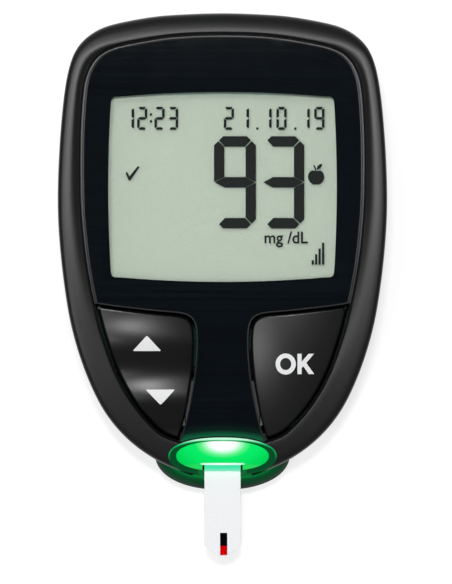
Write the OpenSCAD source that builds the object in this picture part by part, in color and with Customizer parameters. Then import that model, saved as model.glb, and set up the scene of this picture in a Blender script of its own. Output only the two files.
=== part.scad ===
// Handheld blood glucose meter with a test strip in its port.
// It lies on its back, display up (+Z), strip port towards -Y.
// Origin: the flat back face, under the middle of the case. Sizes in millimetres.

/* [Case] */
// Height of the parting plane between the two case halves
part_z = 8; // [7.8:0.1:8.1]
// Height of the cover lens at its flattest place
face_top = 17.5; // [17.4:0.1:18.2]
// Fall of the face from its flattest place to the nose
nose_drop = 6; // [5.6:0.1:6.1]
// Fall of the face from its flattest place to the top end
end_drop = 0.35; // [0.1:0.05:0.6]
// How far the rim stands over the cover lens
rim_rise = 0.5; // [0.2:0.1:0.8]
// Wall thickness of the case
case_wall = 2; // [1.6:0.1:2.2]
// Thickness of the back wall and of the battery door
back_wall = 1.6; // [1.5:0.1:1.7]

/* [Display] */
// Thickness of the cover lens
lens_t = 1.3; // [1:0.1:1.4]
// Thickness of the black mask behind the cover lens
mask_t = 0.15; // [0.1:0.05:0.2]
// Width of the viewing window
window_w = 38.4; // [36:0.2:39]
// Height of the viewing window
window_h = 31.9; // [30:0.1:32.5]
// Width of the display glass
glass_w = 43; // [42.6:0.1:43.2]
// Thickness of one sheet of display glass
glass_t = 0.8; // [0.5:0.1:0.8]

/* [Keys] */
// Gap between a key and what surrounds it
key_gap = 0.42; // [0.35:0.01:0.5]
// Depth of a key cap
key_depth = 2.1; // [1.8:0.1:2.3]
// Radius of the rocker's pivot pins
pivot_r = 0.7; // [0.6:0.05:0.75]
// Clearance around the pivot pins and the stem of the right key
running_gap = 0.05; // [0.03:0.01:0.08]
// Radius of the right key's stem
stem_r = 1.5; // [1.3:0.1:1.6]
// Free travel between a key's post and its snap dome
dome_gap = 0.05; // [0.03:0.01:0.1]

/* [Power] */
// Diameter of a coin cell
cell_d = 20; // [19.8:0.1:20]
// Thickness of a coin cell
cell_t = 3.2; // [3:0.1:3.2]

/* [Strip] */
// Width of the test strip
strip_w = 6.1; // [5.8:0.1:6.2]
// Length of the test strip
strip_len = 27.7; // [27:0.1:28]
// Underside of the test strip
strip_z = 9; // [8.95:0.05:9.05]

/* [Hidden] */
$fn = 48;

eps = 0.01;
far = 60;              // larger than the meter

// Places along the face
flat_y = 14;           // where the face is flattest
end_y = 40.1;          // top end of the case
nose_y = -37.6;        // nose of the front case
display_end_y = -8.6;  // lower end of the display well

// Right half of the case outline, from the middle of the top end to the nose
case_half = [
    [0, 40.1], [8.4, 39.8], [13, 39.3], [19.3, 38], [22.3, 36.5], [24.5, 34.3],
    [25.8, 31], [26.7, 25.8], [27.4, 17.7], [27.7, 9.5], [27.5, 2.9], [26.7, -5.1],
    [25.3, -13.2], [22.7, -21.3], [19.2, -28], [14, -33.3], [7.1, -36.95], [0, nose_y]
];
// Inner edge of the rim, around the cover lens and the keys
face_half = [
    [0, 36.4], [8, 36.1], [15.6, 34.9], [19.4, 33.8], [21.5, 32.1], [22.8, 29.5],
    [23.4, 26], [23.8, 18.7], [23.8, 10.3], [23.5, 4.5], [22.6, -3.1], [21, -10.9],
    [19.8, -15.1], [18, -20.1], [15.6, -24.6], [12.4, -28.7], [8.8, -31.4], [0, -33]
];
// Lower edge of the cover lens and side of its neck, right half; beyond it lies the key
neck_line = [
    [25, -8.1], [18.9, -9.1], [12.2, -9.9], [7.4, -10.35], [5.6, -10.9],
    [4.65, -12.2], [4.35, -14.9], [4.5, -18.5], [4.9, -22], [5.8, -27], [6.8, -30.8],
    [7.8, -33.2]
];
// Rounds of the rim, above its wall: inset from the outline and drop below the crest
rim_rings = [
    [0.03, 2.6], [0.08, 1.1], [0.25, 0.45], [0.6, 0.14], [1.4, 0], [2.2, 0.05],
    [2.8, 0.17], [3.5, 0.4]
];
// Rounds of the back: inset from the outline and height
back_rings = [[3.1, 0], [2.5, 0.3], [1.8, 1], [1.1, 2.1], [0.5, 3.8], [0.15, 6], [0.06, 8]];
// Rounds of the chin: inset from its outline and height
chin_rings = [[1.7, 2.3], [0.6, 3.2], [0, 4.6], [0.15, 5.8], [0.7, 7], [1.4, 7.7], [2.2, 8]];

// Chin under the strip port: a superellipse
chin_a = 11.4;
chin_b = 6.2;
chin_y = -34;
chin_power = 2.2;

// Oval of the strip port and of the lit dish in it
port_y = -34.45;
port_a = 9.1;
port_b = 3.15;
port_low_b = 3.55;     // towards the nose, where the oval runs out of the case
dish_a = 7.8;
dish_b = 2.55;
port_floor = 8.8;      // shelf under the strip
notch_half = 4.1;      // half width of the notch for the strip
dish_back = [-31.9, 12.6];
dish_lip = [-35.9, 10];
lip_reach = 1.05;      // how far the dish's lip reaches over the strip
guide_half = 6.8;
guide_back = -30.1;
guide_top = 11.5;

// Display
window_y = 10.85;
aperture = [glass_w - 2.6, 35];      // opening of the case behind the mask
aperture_y = 10.9;
deck_z = 15;                         // underside of the case over the display
deck_t = 1.2;                        // thickness of the case behind the mask, under the neck
front_glass_z = 13.9;
rear_glass_z = front_glass_z - glass_t;
reflector_t = 0.2;

// Board
board_z = 7.2;
board_t = 1.2;
board_top = board_z + board_t;
board_inset = 3.2;

// Keys
up_dome = [-12.7, -15.3];
down_dome = [-10.3, -24.5];
ok_dome = [12.2, -18.9];
dome_r = 2.5;
dome_h = 0.4;
rock_y = (up_dome[1] + down_dome[1]) / 2;
rock_z = 12;
rock_angle = 4;
ok_travel = 0.5;
rock_drop = (up_dome[1] - down_dome[1]) / 2 * sin(rock_angle);
ear_left_x = -20.7;
ear_right_x = -3.6;
bridge_z = 10;
bridge_t = 1.5;

// Power
cell_x = 10.45;
cell_y = 22;
cell_z = back_wall + 0.05;
door_y = 8;
door_end = 41;
door_half = 21;
door_gap = 0.15;
tongue = 1;
tongue_z = 0.85;
plate_z = 1.75;        // upper side of the door's space
bay_top = 6.3;

// Strip
base_t = 0.25;
spacer_t = 0.12;
cover_t = 0.18;
trace_t = 0.04;
strip_tip = -51.3;
tip_len = 2;           // length of the rounded end
tip_power = 1.5;
strip_in = strip_tip + strip_len;
slot_half = 3.4;
slot_z = [8.85, 9.75];
channel_x = 0.2;
channel_w = 1.2;
channel_y = -47.4;
reagent_len = 2.2;

// Screws: two under the door, one under the neck of the lens
end_screws = [[-13, 35.2], [13, 35.2]];
neck_screw = [0, -13.6];
screw_r = 1;
screw_head_r = 1.9;
screw_head_t = 1.25;
screw_tip_z = 12;

/* Heights of the face, which depend on y alone */

function lens_top(y) = y > flat_y
    ? face_top - end_drop * pow((y - flat_y) / (end_y - flat_y), 2)
    : face_top - nose_drop * pow((flat_y - y) / (flat_y - nose_y), 2.6);
function lens_under(y) = lens_top(y) - lens_t;
function mask_under(y) = lens_under(y) - mask_t;
function deck_under(y) = mask_under(y) - deck_t;      // below the display well
function crest(y) = lens_top(y) + rim_rise;

/* Smooth outlines */

function curve_point(a, b, c, d, t) =
    0.5 * (2 * b + (c - a) * t + (2 * a - 5 * b + 4 * c - d) * t * t
        + (3 * b - a - 3 * c + d) * t * t * t);
function mirrored(p) = [-p[0], p[1]];
// A smooth right half through the points, with its ends on the axis
function smooth_half(pts, steps = 2) = let(n = len(pts)) [
    for (i = [0 : n - 2], s = [0 : steps - 1])
        curve_point(i == 0 ? mirrored(pts[1]) : pts[i - 1], pts[i], pts[i + 1],
            i == n - 2 ? mirrored(pts[n - 2]) : pts[i + 2], s / steps),
    pts[n - 1]
];
// A smooth open line through the points
function smooth_line(pts, steps = 3) = let(n = len(pts)) [
    for (i = [0 : n - 2], s = [0 : steps - 1])
        curve_point(pts[max(i - 1, 0)], pts[i], pts[i + 1], pts[min(i + 2, n - 1)], s / steps),
    pts[n - 1]
];
function unit(v) = v / norm(v);
// The half moved inwards along its normals
function inset_half(half, d) = let(n = len(half)) [
    for (i = [0 : n - 1])
        let(ahead = i == n - 1 ? mirrored(half[n - 2]) : half[i + 1],
            behind = i == 0 ? mirrored(half[1]) : half[i - 1],
            run = unit(ahead - behind))
        half[i] - d * [-run[1], run[0]]
];
// The whole outline, counterclockwise from the middle of the top end
function whole(half) = let(n = len(half)) concat(
    [for (i = [0 : n - 1]) mirrored(half[i])],
    [for (i = [n - 2 : -1 : 1]) half[i]]
);
// b is the upper half height and low_b the lower one
function superellipse_half(a, b, low_b, y, power, steps = 12) = [
    for (i = [0 : steps]) let(t = 180 * i / steps)
        [a * pow(max(sin(t), 0), 2 / power),
            y + (cos(t) > 0 ? b : -low_b) * pow(abs(cos(t)), 2 / power)]
];

case_line = smooth_half(case_half);
face_line = smooth_half(face_half);
chin_line = superellipse_half(chin_a, chin_b, chin_b, chin_y, chin_power);
port_line = superellipse_half(port_a, port_b, port_low_b, port_y, chin_power);
dish_line = superellipse_half(dish_a, dish_b, dish_b, port_y, chin_power);

function outline(d) = whole(inset_half(case_line, d));

// A closed skin through rings of points that are mirrored about x = 0
module skin(rings) {
    n = len(rings[0]);
    last = len(rings) - 1;
    points = [for (r = rings) each r];
    function quad(a, b, c, d) = [[a, b, c], [a, c, d]];
    sides = [for (k = [0 : last - 1], i = [0 : n - 1]) let(j = (i + 1) % n)
        each quad(k * n + i, (k + 1) * n + i, (k + 1) * n + j, k * n + j)];
    function cap(o) = concat([[o, o + 1, o + n - 1]],
        [for (i = [1 : n / 2 - 2]) each quad(o + i, o + i + 1, o + n - i - 1, o + n - i)],
        [[o + n / 2 - 1, o + n / 2, o + n / 2 + 1]]);
    top = [for (f = cap(last * n)) [f[2], f[1], f[0]]];
    polyhedron(points, concat(cap(0), sides, top), convexity = 6);
}

// A flat shape raised between two heights
module prism(pts, z0, z1) {
    translate([0, 0, z0]) linear_extrude(z1 - z0) polygon(pts);
}

// A box between two corners
module block(a, b) {
    translate(a) cube(b - a);
}

// Everything between two heights that depend on y, within the given stretch
module band(low, high, y0, y1, steps = 26, half = far / 2) {
    ys = [for (i = [0 : steps]) y0 + (y1 - y0) * i / steps];
    section = concat([for (y = ys) [y, low(y)]], [for (i = [steps : -1 : 0]) [ys[i], high(ys[i])]]);
    translate([-half, 0, 0]) rotate([90, 0, 90]) linear_extrude(2 * half) polygon(section);
}

/* Flat shapes */

module key_side() {
    polygon(concat(smooth_line(neck_line), [[7.8, -far], [far, -far], [far, -8.1]]));
}
module face_2d() polygon(whole(face_line));
module lens_2d() {
    difference() {
        offset(delta = -0.3) face_2d();
        key_side();
        mirror([1, 0]) key_side();
        polygon(whole(port_line));
        translate([-far, -far]) square([2 * far, far + port_y]);
    }
}
module key_well_2d() {
    intersection() {
        face_2d();
        key_side();
    }
}
module key_2d() {
    offset(r = 0.7) offset(delta = -0.7 - key_gap) key_well_2d();
}
module window_2d() {
    w = window_w / 2;
    h = window_h / 2;
    bulge = 0.5;
    side = [for (i = [0 : 8]) let(t = -1 + i / 4) [w - bulge * t * t, h * 0.96 * t]];
    top = [for (i = [1 : 7]) let(t = 1 - i / 4) [w * 0.97 * t, h - 0.9 * t * t]];
    half_ring = concat(side, top);
    offset(r = 0.6) offset(delta = -0.6)
        translate([0, window_y]) polygon(concat(half_ring, [for (p = half_ring) -p]));
}

/* Case */

module case_skin() {
    foot = [for (p = outline(0)) [p[0], p[1], part_z]];
    skin(concat([foot], [for (r = rim_rings) [for (p = outline(r[0]))
        [p[0], p[1], crest(p[1]) - r[1]]]]));
}
module back_skin() {
    skin([for (r = back_rings) [for (p = outline(r[0])) [p[0], p[1], r[1] * part_z / 8]]]);
}
module chin_skin() {
    skin([for (r = chin_rings) [for (p = whole(inset_half(chin_line, r[0])))
        [p[0], p[1], r[1] * part_z / 8]]]);
}
// The part of the chin that belongs to the port housing
module chin() {
    intersection() {
        chin_skin();
        block([-far, -far, 0], [far, -33.9, part_z]);
    }
}

module well() {
    translate([0, 0, part_z - 1]) linear_extrude(far / 2) key_well_2d();
}

module front_case() color([0.13, 0.13, 0.14]) {
    difference() {
        union() {
            difference() {
                case_skin();
                // seat of the lens and its mask
                intersection() {
                    prism(whole(face_line), part_z, far / 2);
                    band(function(y) mask_under(y), function(y) far / 2, -36, 38);
                }
                // hollow under the rim and the deck
                intersection() {
                    prism(outline(case_wall), part_z - 1, far / 2);
                    band(function(y) part_z - 1, function(y) deck_z, display_end_y, 39);
                }
                intersection() {
                    prism(outline(case_wall), part_z - 1, far / 2);
                    band(function(y) part_z - 1, function(y) deck_under(y),
                        -36, display_end_y + eps);
                }
            }
            // bosses for the screws
            for (s = end_screws)
                translate([s[0], s[1], part_z]) cylinder(r = 2.2, h = deck_z - part_z + eps);
            translate([neck_screw[0], neck_screw[1], board_top])
                cylinder(r = 2.2, h = deck_under(neck_screw[1]) - board_top + 0.2);
            // ears for the rocker's pins
            for (x = [ear_left_x, ear_right_x])
                block([x - 0.7, rock_y - 1.7, rock_z - 1.3], [x + 0.7, rock_y + 1.7, rock_z + 1.2]);
            // bridge that guides the right key
            block([4, ok_dome[1] - 2.3, bridge_z], [20.2, ok_dome[1] + 2.3, bridge_z + bridge_t]);
            block([3, ok_dome[1] - 2.3, bridge_z], [4.2, ok_dome[1] + 2.3, 13.6]);
            block([19, ok_dome[1] - 2.3, bridge_z], [20.6, ok_dome[1] + 2.3, 13.6]);
        }
        // viewing window
        translate([-aperture[0] / 2, aperture_y - aperture[1] / 2, deck_z - 1])
            cube([aperture[0], aperture[1], 4]);
        // keys
        difference() {
            union() {
                well();
                mirror([1, 0, 0]) well();
            }
            block([2, ok_dome[1] - 3, part_z - 1], [21, ok_dome[1] + 3, bridge_z + bridge_t]);
            block([-21.5, rock_y - 2, part_z - 1], [-19.9, rock_y + 2, rock_z + 0.9]);
        }
        // port, with the way for the strip and room for the light guide
        prism(whole(port_line), part_z - 1, far / 2);
        block([-notch_half, -far, port_floor], [notch_half, -36, far]);
        block([-guide_half - 0.2, -33.2, part_z - 1], [guide_half + 0.2, guide_back + 0.2, guide_top + 0.2]);
        // pilot holes
        for (s = concat(end_screws, [neck_screw]))
            translate([s[0], s[1], part_z - eps]) cylinder(r = screw_r, h = 5);
        // bores of the rocker's ears
        translate([ear_left_x - 0.7, rock_y, rock_z]) rotate([0, 90, 0])
            cylinder(r = pivot_r + running_gap, h = ear_right_x - ear_left_x + 2);
        // bore of the right key's stem
        translate([ok_dome[0], ok_dome[1], bridge_z - 1])
            cylinder(r = stem_r + running_gap, h = bridge_t + 2);
    }
}

module rear_case() color([0.11, 0.11, 0.12]) {
    difference() {
        union() {
            difference() {
                back_skin();
                // hollow, with a higher floor over the battery door
                prism(outline(case_wall), 3.4, part_z + 1);
                intersection() {
                    prism(outline(3.4), back_wall, 4);
                    block([-far, -far, 0], [far, door_y - 1.8, 5]);
                }
                intersection() {
                    prism(outline(3.4), plate_z + 1, 4);
                    block([-far, door_y - 1.9, 0], [far, far, 5]);
                }
            }
            // battery bay
            block([-21.9, 10.9, plate_z], [21.9, 33.1, bay_top]);
            for (x = [-18, 0, 18], y = [14, 29])
                translate([x, y, bay_top - eps]) cylinder(r = 1.4, h = board_z - bay_top + eps);
            // bosses and board posts
            for (s = end_screws)
                translate([s[0], s[1], plate_z]) cylinder(r = 2.2, h = part_z - plate_z);
            translate([neck_screw[0], neck_screw[1], back_wall - eps])
                cylinder(r = 2.4, h = board_z - back_wall + eps);
            for (p = [[-20, -2], [20, -2], [-10, -26], [10, -26]])
                translate([p[0], p[1], back_wall - eps]) cylinder(r = 1.5, h = board_z - back_wall + eps);
        }
        // space of the battery door and of its tongues
        block([-door_half - door_gap, door_y - door_gap, -1], [door_half + door_gap, door_end, plate_z]);
        block([-door_half - tongue - door_gap, door_y - door_gap, tongue_z - 0.1],
            [door_half + tongue + door_gap, door_end, plate_z]);
        // pockets of the two cells
        translate([0, 0, plate_z - eps]) linear_extrude(5.3 - plate_z) {
            for (x = [-cell_x, cell_x]) translate([x, cell_y]) circle(r = cell_d / 2 + 0.3);
            translate([-cell_x, cell_y - 6]) square([2 * cell_x, 12]);
        }
        // windows for the contacts
        for (x = [-cell_x, cell_x]) {
            block([x - 4, cell_y - 1.5, 5], [x + 4, cell_y + 1.5, bay_top + 1]);
            block([x - 3, cell_y + 9.9, plate_z + 0.4], [x + 3, cell_y + 10.6, bay_top + 1]);
        }
        // screws
        for (s = end_screws) {
            translate([s[0], s[1], -1]) cylinder(r = screw_head_r + 0.2, h = 4);
            translate([s[0], s[1], 0]) cylinder(r = screw_r + 0.15, h = part_z + 1);
        }
        translate([neck_screw[0], neck_screw[1], -1]) cylinder(r = screw_head_r + 0.2, h = 4);
        translate([neck_screw[0], neck_screw[1], 0]) cylinder(r = screw_r + 0.15, h = part_z + 1);
        // seat of the label
        block([-12, -7, -1], [12, 4, 0.2]);
        // room for the chin
        chin();
    }
}

module port_housing() color([0.03, 0.2, 0.1]) {
    difference() {
        union() {
            chin();
            intersection() {
                prism(whole(port_line), part_z - eps, far / 2);
                prism(outline(0), part_z - 1, far / 2);
                band(function(y) part_z - 1, function(y) lens_top(y), -38, -31, 8);
            }
        }
        // dish
        prism(whole(dish_line), port_floor, far / 2);
        // way for the strip and its light guide
        block([-notch_half, -far, port_floor], [notch_half, -36, far]);
        block([-guide_half - 0.1, -33, port_floor - 0.4], [guide_half + 0.1, -30, guide_top + 0.1]);
        // hollow of the chin
        block([-7, -36.4, 3.6], [7, -33, part_z - 1]);
    }
}

module port_light_guide() color([0.7, 1, 0.8]) {
    difference() {
        union() {
            intersection() {
                prism(whole(dish_line), port_floor, far / 2);
                translate([-far / 2, 0, 0]) rotate([90, 0, 90]) linear_extrude(far)
                    polygon([
                        [-31, part_z], [-31, dish_back[1]], dish_back, dish_lip,
                        [port_y - dish_b, dish_lip[1]], [port_y - dish_b, part_z]
                    ]);
            }
            block([-guide_half, -33, port_floor - 0.3], [guide_half, guide_back, guide_top]);
        }
        block([-slot_half, -far, slot_z[0]], [slot_half, -29, slot_z[1]]);
        block([-notch_half, -far, slot_z[0]], [notch_half, dish_lip[0], far]);
    }
    // lip over the strip
    block([-strip_w / 2, dish_lip[0] - lip_reach, slot_z[1]], [strip_w / 2, dish_lip[0] + 0.1, dish_lip[1]]);
}

/* Display */

module cover_lens() color([0.1, 0.13, 0.16, 0.5]) {
    intersection() {
        linear_extrude(far / 2) lens_2d();
        band(function(y) lens_under(y), function(y) lens_top(y), -36, 38);
    }
}

module lens_mask() color([0.02, 0.03, 0.04]) {
    intersection() {
        linear_extrude(far / 2) difference() {
            offset(delta = -0.25) lens_2d();
            window_2d();
        }
        band(function(y) mask_under(y), function(y) lens_under(y), -36, 38);
    }
}

module frame_2d(outer, inner) {
    difference() {
        square(outer, center = true);
        square(inner, center = true);
    }
}

module display_gasket() color([0.1, 0.1, 0.1]) {
    translate([0, aperture_y, front_glass_z + glass_t]) linear_extrude(deck_z - front_glass_z - glass_t)
        frame_2d([glass_w, 36.6], aperture);
}

module lcd_front_glass() color([0.7, 0.76, 0.7, 0.8]) {
    block([-glass_w / 2, -7.6, front_glass_z], [glass_w / 2, 29.2, front_glass_z + glass_t]);
}

module lcd_rear_glass() color([0.66, 0.72, 0.66, 0.8]) {
    block([-glass_w / 2, -5.2, rear_glass_z], [glass_w / 2, 29.2, front_glass_z]);
}

module lcd_reflector() color([0.75, 0.8, 0.75]) {
    block([-glass_w / 2, -5.2, rear_glass_z - reflector_t], [glass_w / 2, 29.2, rear_glass_z]);
}

module lcd_frame() color([0.85, 0.85, 0.82]) {
    pocket_z = rear_glass_z - reflector_t;
    difference() {
        block([-22.5, -8.4, board_top], [22.5, 30, deck_z - 0.1]);
        // pocket of the glass
        block([-glass_w / 2 - 0.1, -7.7, pocket_z], [glass_w / 2 + 0.1, 29.3, far]);
        // room over the board
        block([-21.4, -4.6, board_top - 1], [21.4, 28.8, pocket_z - 0.8]);
        // slot of the contact strip
        block([-20.6, -7.4, board_top - 1], [20.6, -5.5, far]);
    }
}

module zebra_connector() color([0.3, 0.3, 0.32]) {
    block([-20.5, -7.3, board_top], [20.5, -5.6, front_glass_z]);
}

/* Board */

module main_board() color([0.05, 0.32, 0.16]) {
    difference() {
        intersection() {
            prism(outline(board_inset), board_z, board_top);
            block([-far, -29.5, 0], [far, 31.5, far]);
        }
        translate([neck_screw[0], neck_screw[1], 0]) cylinder(r = screw_r + 0.15, h = far);
    }
}

module microcontroller() color([0.08, 0.08, 0.09]) {
    block([-12, -5, board_z - 1.4], [-2, 5, board_z]);
}

module radio_module() color([0.7, 0.7, 0.72]) {
    block([4, -4, board_z - 1.9], [15, 4, board_z]);
}

module chip_components() color([0.55, 0.45, 0.32]) {
    for (i = [0 : 4], j = [0 : 2])
        block([-16 + 7.6 * i, 1 + 9 * j, board_top], [-13.6 + 7.6 * i, 2.3 + 9 * j, board_top + 0.8]);
}

module buzzer() color([0.12, 0.12, 0.12]) {
    translate([13, -12, board_z - 3.5]) difference() {
        cylinder(r = 4.5, h = 3.5);
        translate([0, 0, -1]) cylinder(r = 0.8, h = 2);
    }
}

module snap_domes() color([0.8, 0.8, 0.78]) {
    for (p = [up_dome, down_dome, ok_dome])
        translate([p[0], p[1], board_top]) {
            cylinder(r1 = dome_r, r2 = dome_r * 0.7, h = dome_h * 0.7);
            translate([0, 0, dome_h * 0.7])
                cylinder(r1 = dome_r * 0.7, r2 = dome_r * 0.3, h = dome_h * 0.3);
        }
}

module port_leds() color([0.9, 0.95, 0.85]) {
    for (x = [-7.3, 7.3]) block([x - 0.9, -29.3, board_top], [x + 0.9, -28, board_top + 0.9]);
}

/* Strip connector */

contact_pitch = 1.1;
module strip_connector() color([0.12, 0.12, 0.13]) {
    difference() {
        block([-6.2, -29.3, board_top], [6.2, -21.8, 10.95]);
        block([-slot_half, -far, slot_z[0]], [slot_half, strip_in + 0.4, slot_z[1]]);
        // room of the contacts
        block([-2.9, -28.6, slot_z[1] - 0.1], [2.9, -20, 12]);
    }
}

module connector_contacts() color([0.85, 0.7, 0.35]) {
    touch_z = strip_z + base_t + trace_t + 0.03;
    for (i = [-2 : 2])
        translate([i * contact_pitch - 0.25, 0, 0]) rotate([90, 0, 90]) linear_extrude(0.5)
            polygon([
                [-28, 10.3], [-26.3, touch_z], [-25.5, touch_z], [-24, 10.6], [-21.2, 10.6],
                [-21.2, board_top], [-20.2, board_top], [-20.2, board_top + 0.2],
                [-21, board_top + 0.2], [-21, 10.8], [-24.1, 10.8], [-25.6, touch_z + 0.2],
                [-26.2, touch_z + 0.2], [-27.8, 10.5]
            ]);
}

/* Power */

module coin_cell(x) color([0.78, 0.78, 0.8]) {
    translate([x, cell_y, cell_z]) {
        cylinder(r = cell_d / 2, h = cell_t - 0.5);
        cylinder(r = cell_d / 2 - 1.2, h = cell_t);
    }
}
module coin_cell_left() coin_cell(-cell_x);
module coin_cell_right() coin_cell(cell_x);

// Springs over the cells, through the windows of the bay
module battery_negative_contacts() color([0.8, 0.72, 0.45]) {
    for (x = [-cell_x, cell_x])
        translate([x, cell_y + 1, 0]) rotate([90, 0, 0]) linear_extrude(2)
            polygon([
                [-3.6, board_z], [-3.6, board_z - 0.2], [-1, cell_z + cell_t], [1, cell_z + cell_t],
                [3.6, board_z - 0.2], [3.6, board_z], [3.2, board_z], [0.9, cell_z + cell_t + 0.2],
                [-0.9, cell_z + cell_t + 0.2], [-3.2, board_z]
            ]);
}

// Blades beside the cells' rims, which fold over the bay to the board
module battery_positive_contacts() color([0.82, 0.82, 0.8]) {
    rim_y = cell_y + cell_d / 2 + 0.05;
    for (x = [-cell_x, cell_x])
        translate([x - 2.5, 0, 0]) rotate([90, 0, 90]) linear_extrude(5)
            polygon([
                [rim_y, 2.3], [rim_y + 0.2, 2.3], [rim_y + 0.2, board_z], [30.5, board_z],
                [30.5, board_z - 0.2], [rim_y, board_z - 0.2]
            ]);
}

module battery_door() color([0.12, 0.12, 0.13]) {
    difference() {
        union() {
            intersection() {
                back_skin();
                block([-door_half, door_y, 0], [door_half, door_end, back_wall]);
            }
            intersection() {
                block([-door_half - tongue, door_y, tongue_z], [door_half + tongue, 31, back_wall]);
                prism(outline(2.4), 0, 3);
            }
        }
        // grip grooves
        for (i = [0 : 4])
            block([-7, 26 + 1.8 * i, -1], [7, 26.9 + 1.8 * i, 0.4]);
    }
}

/* Fasteners and label */

module screw(x, y) {
    translate([x, y, plate_z]) difference() {
        union() {
            cylinder(r = screw_head_r, h = screw_head_t);
            cylinder(r = screw_r, h = screw_tip_z - plate_z);
        }
        for (a = [0, 90]) rotate([0, 0, a])
            translate([-1.1, -0.25, -1]) cube([2.2, 0.5, 1.7]);
    }
}

module case_screws() color([0.35, 0.35, 0.37]) {
    for (s = concat(end_screws, [neck_screw])) screw(s[0], s[1]);
}

module rear_label() color([0.55, 0.56, 0.58]) {
    block([-11.8, -6.8, 0.08], [11.8, 3.8, 0.2]);
}

/* Keys */

// The rocker's face has a crown under each arrow and a saddle over its pivot
arrow_crown = 0.3;
crown_pitch = 10.2;
ok_crown = 0.25;
function arrow_top(y) = lens_top(y) - 0.35
    + arrow_crown * cos(360 * (y - rock_y) / crown_pitch - 180);
function ok_top(y) = lens_top(y) - 0.15 + ok_crown * cos(180 * (y - ok_dome[1]) / 20);

module arrow_key() color([0.22, 0.22, 0.23]) {
    post_z = board_top + dome_h + rock_drop + dome_gap;
    intersection() {
        mirror([1, 0, 0]) linear_extrude(far / 2) key_2d();
        band(function(y) lens_top(y) - key_depth - 0.2, function(y) arrow_top(y), -33, -8, 30);
    }
    // pivot bar and its web
    translate([ear_left_x - 0.6, rock_y, rock_z]) rotate([0, 90, 0])
        cylinder(r = pivot_r, h = ear_right_x - ear_left_x + 1.2);
    block([-17, rock_y - 0.7, rock_z], [-6, rock_y + 0.7, 14.4]);
    for (p = [up_dome, down_dome])
        translate([p[0], p[1], post_z]) cylinder(r = 1, h = lens_top(p[1]) - 1 - post_z);
}

module ok_key() color([0.22, 0.22, 0.23]) {
    stem_z = board_top + dome_h + ok_travel + dome_gap;
    intersection() {
        linear_extrude(far / 2) key_2d();
        band(function(y) lens_top(y) - key_depth, function(y) ok_top(y), -33, -8);
    }
    translate([ok_dome[0], ok_dome[1], stem_z])
        cylinder(r = stem_r, h = lens_top(ok_dome[1]) - 1 - stem_z);
}

/* Test strip */

// The strip's outline up to a given y
module strip_2d(to_y) {
    r = strip_w / 2;
    tip = [for (t = [0 : 10 : 180])
        [sign(cos(t)) * r * pow(abs(cos(t)), 2 / tip_power),
            strip_tip + tip_len - tip_len * pow(max(sin(t), 0), 2 / tip_power)]];
    polygon(concat(tip, [[-r, to_y], [r, to_y]]));
}
module channel_2d() {
    translate([channel_x - channel_w / 2, strip_tip - 1]) square([channel_w, channel_y - strip_tip + 1]);
}

lid_y = -27;
spacer_z = strip_z + base_t;
cover_z = spacer_z + spacer_t;

module strip_base() color([0.93, 0.93, 0.93]) {
    translate([0, 0, strip_z]) linear_extrude(base_t) strip_2d(strip_in);
}
module strip_spacer() color([0.85, 0.85, 0.85]) {
    translate([0, 0, spacer_z]) linear_extrude(spacer_t) difference() {
        strip_2d(lid_y);
        channel_2d();
    }
}
module strip_cover() color([0.95, 0.95, 0.95]) {
    translate([0, 0, cover_z]) linear_extrude(cover_t) difference() {
        strip_2d(lid_y);
        channel_2d();
    }
}
module strip_electrodes() color([0.2, 0.2, 0.2]) {
    for (i = [-2 : 2])
        block([i * contact_pitch - 0.35, lid_y, spacer_z],
            [i * contact_pitch + 0.35, strip_in - 0.3, spacer_z + trace_t]);
}
module strip_reagent() color([0.05, 0.05, 0.05]) {
    block([channel_x - channel_w / 2, channel_y - reagent_len, spacer_z],
        [channel_x + channel_w / 2, channel_y, spacer_z + spacer_t]);
}

front_case();
rear_case();
cover_lens();
lens_mask();
display_gasket();
lcd_front_glass();
lcd_rear_glass();
lcd_reflector();
lcd_frame();
zebra_connector();
main_board();
microcontroller();
radio_module();
chip_components();
buzzer();
snap_domes();
port_leds();
strip_connector();
connector_contacts();
port_light_guide();
port_housing();
coin_cell_left();
coin_cell_right();
battery_positive_contacts();
battery_negative_contacts();
case_screws();
rear_label();
arrow_key();
ok_key();
battery_door();
strip_base();
strip_spacer();
strip_cover();
strip_electrodes();
strip_reagent();
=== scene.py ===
import math

import bmesh
import bpy
from mathutils import Matrix, Vector


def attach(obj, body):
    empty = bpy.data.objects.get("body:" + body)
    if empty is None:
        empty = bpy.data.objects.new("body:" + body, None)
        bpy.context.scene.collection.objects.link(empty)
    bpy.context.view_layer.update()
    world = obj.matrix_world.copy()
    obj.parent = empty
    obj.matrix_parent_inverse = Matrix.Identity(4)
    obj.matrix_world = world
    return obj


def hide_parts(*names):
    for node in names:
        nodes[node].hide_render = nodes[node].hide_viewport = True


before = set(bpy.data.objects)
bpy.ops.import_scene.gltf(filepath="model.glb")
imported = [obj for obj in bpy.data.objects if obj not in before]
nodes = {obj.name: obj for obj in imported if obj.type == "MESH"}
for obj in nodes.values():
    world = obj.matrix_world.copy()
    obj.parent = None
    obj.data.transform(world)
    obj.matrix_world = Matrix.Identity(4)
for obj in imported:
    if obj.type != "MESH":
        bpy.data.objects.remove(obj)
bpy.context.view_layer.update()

mm = 0.001
bpy.ops.object.select_all(action="DESELECT")
print("frame loaded:", len(nodes), "nodes")

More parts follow.
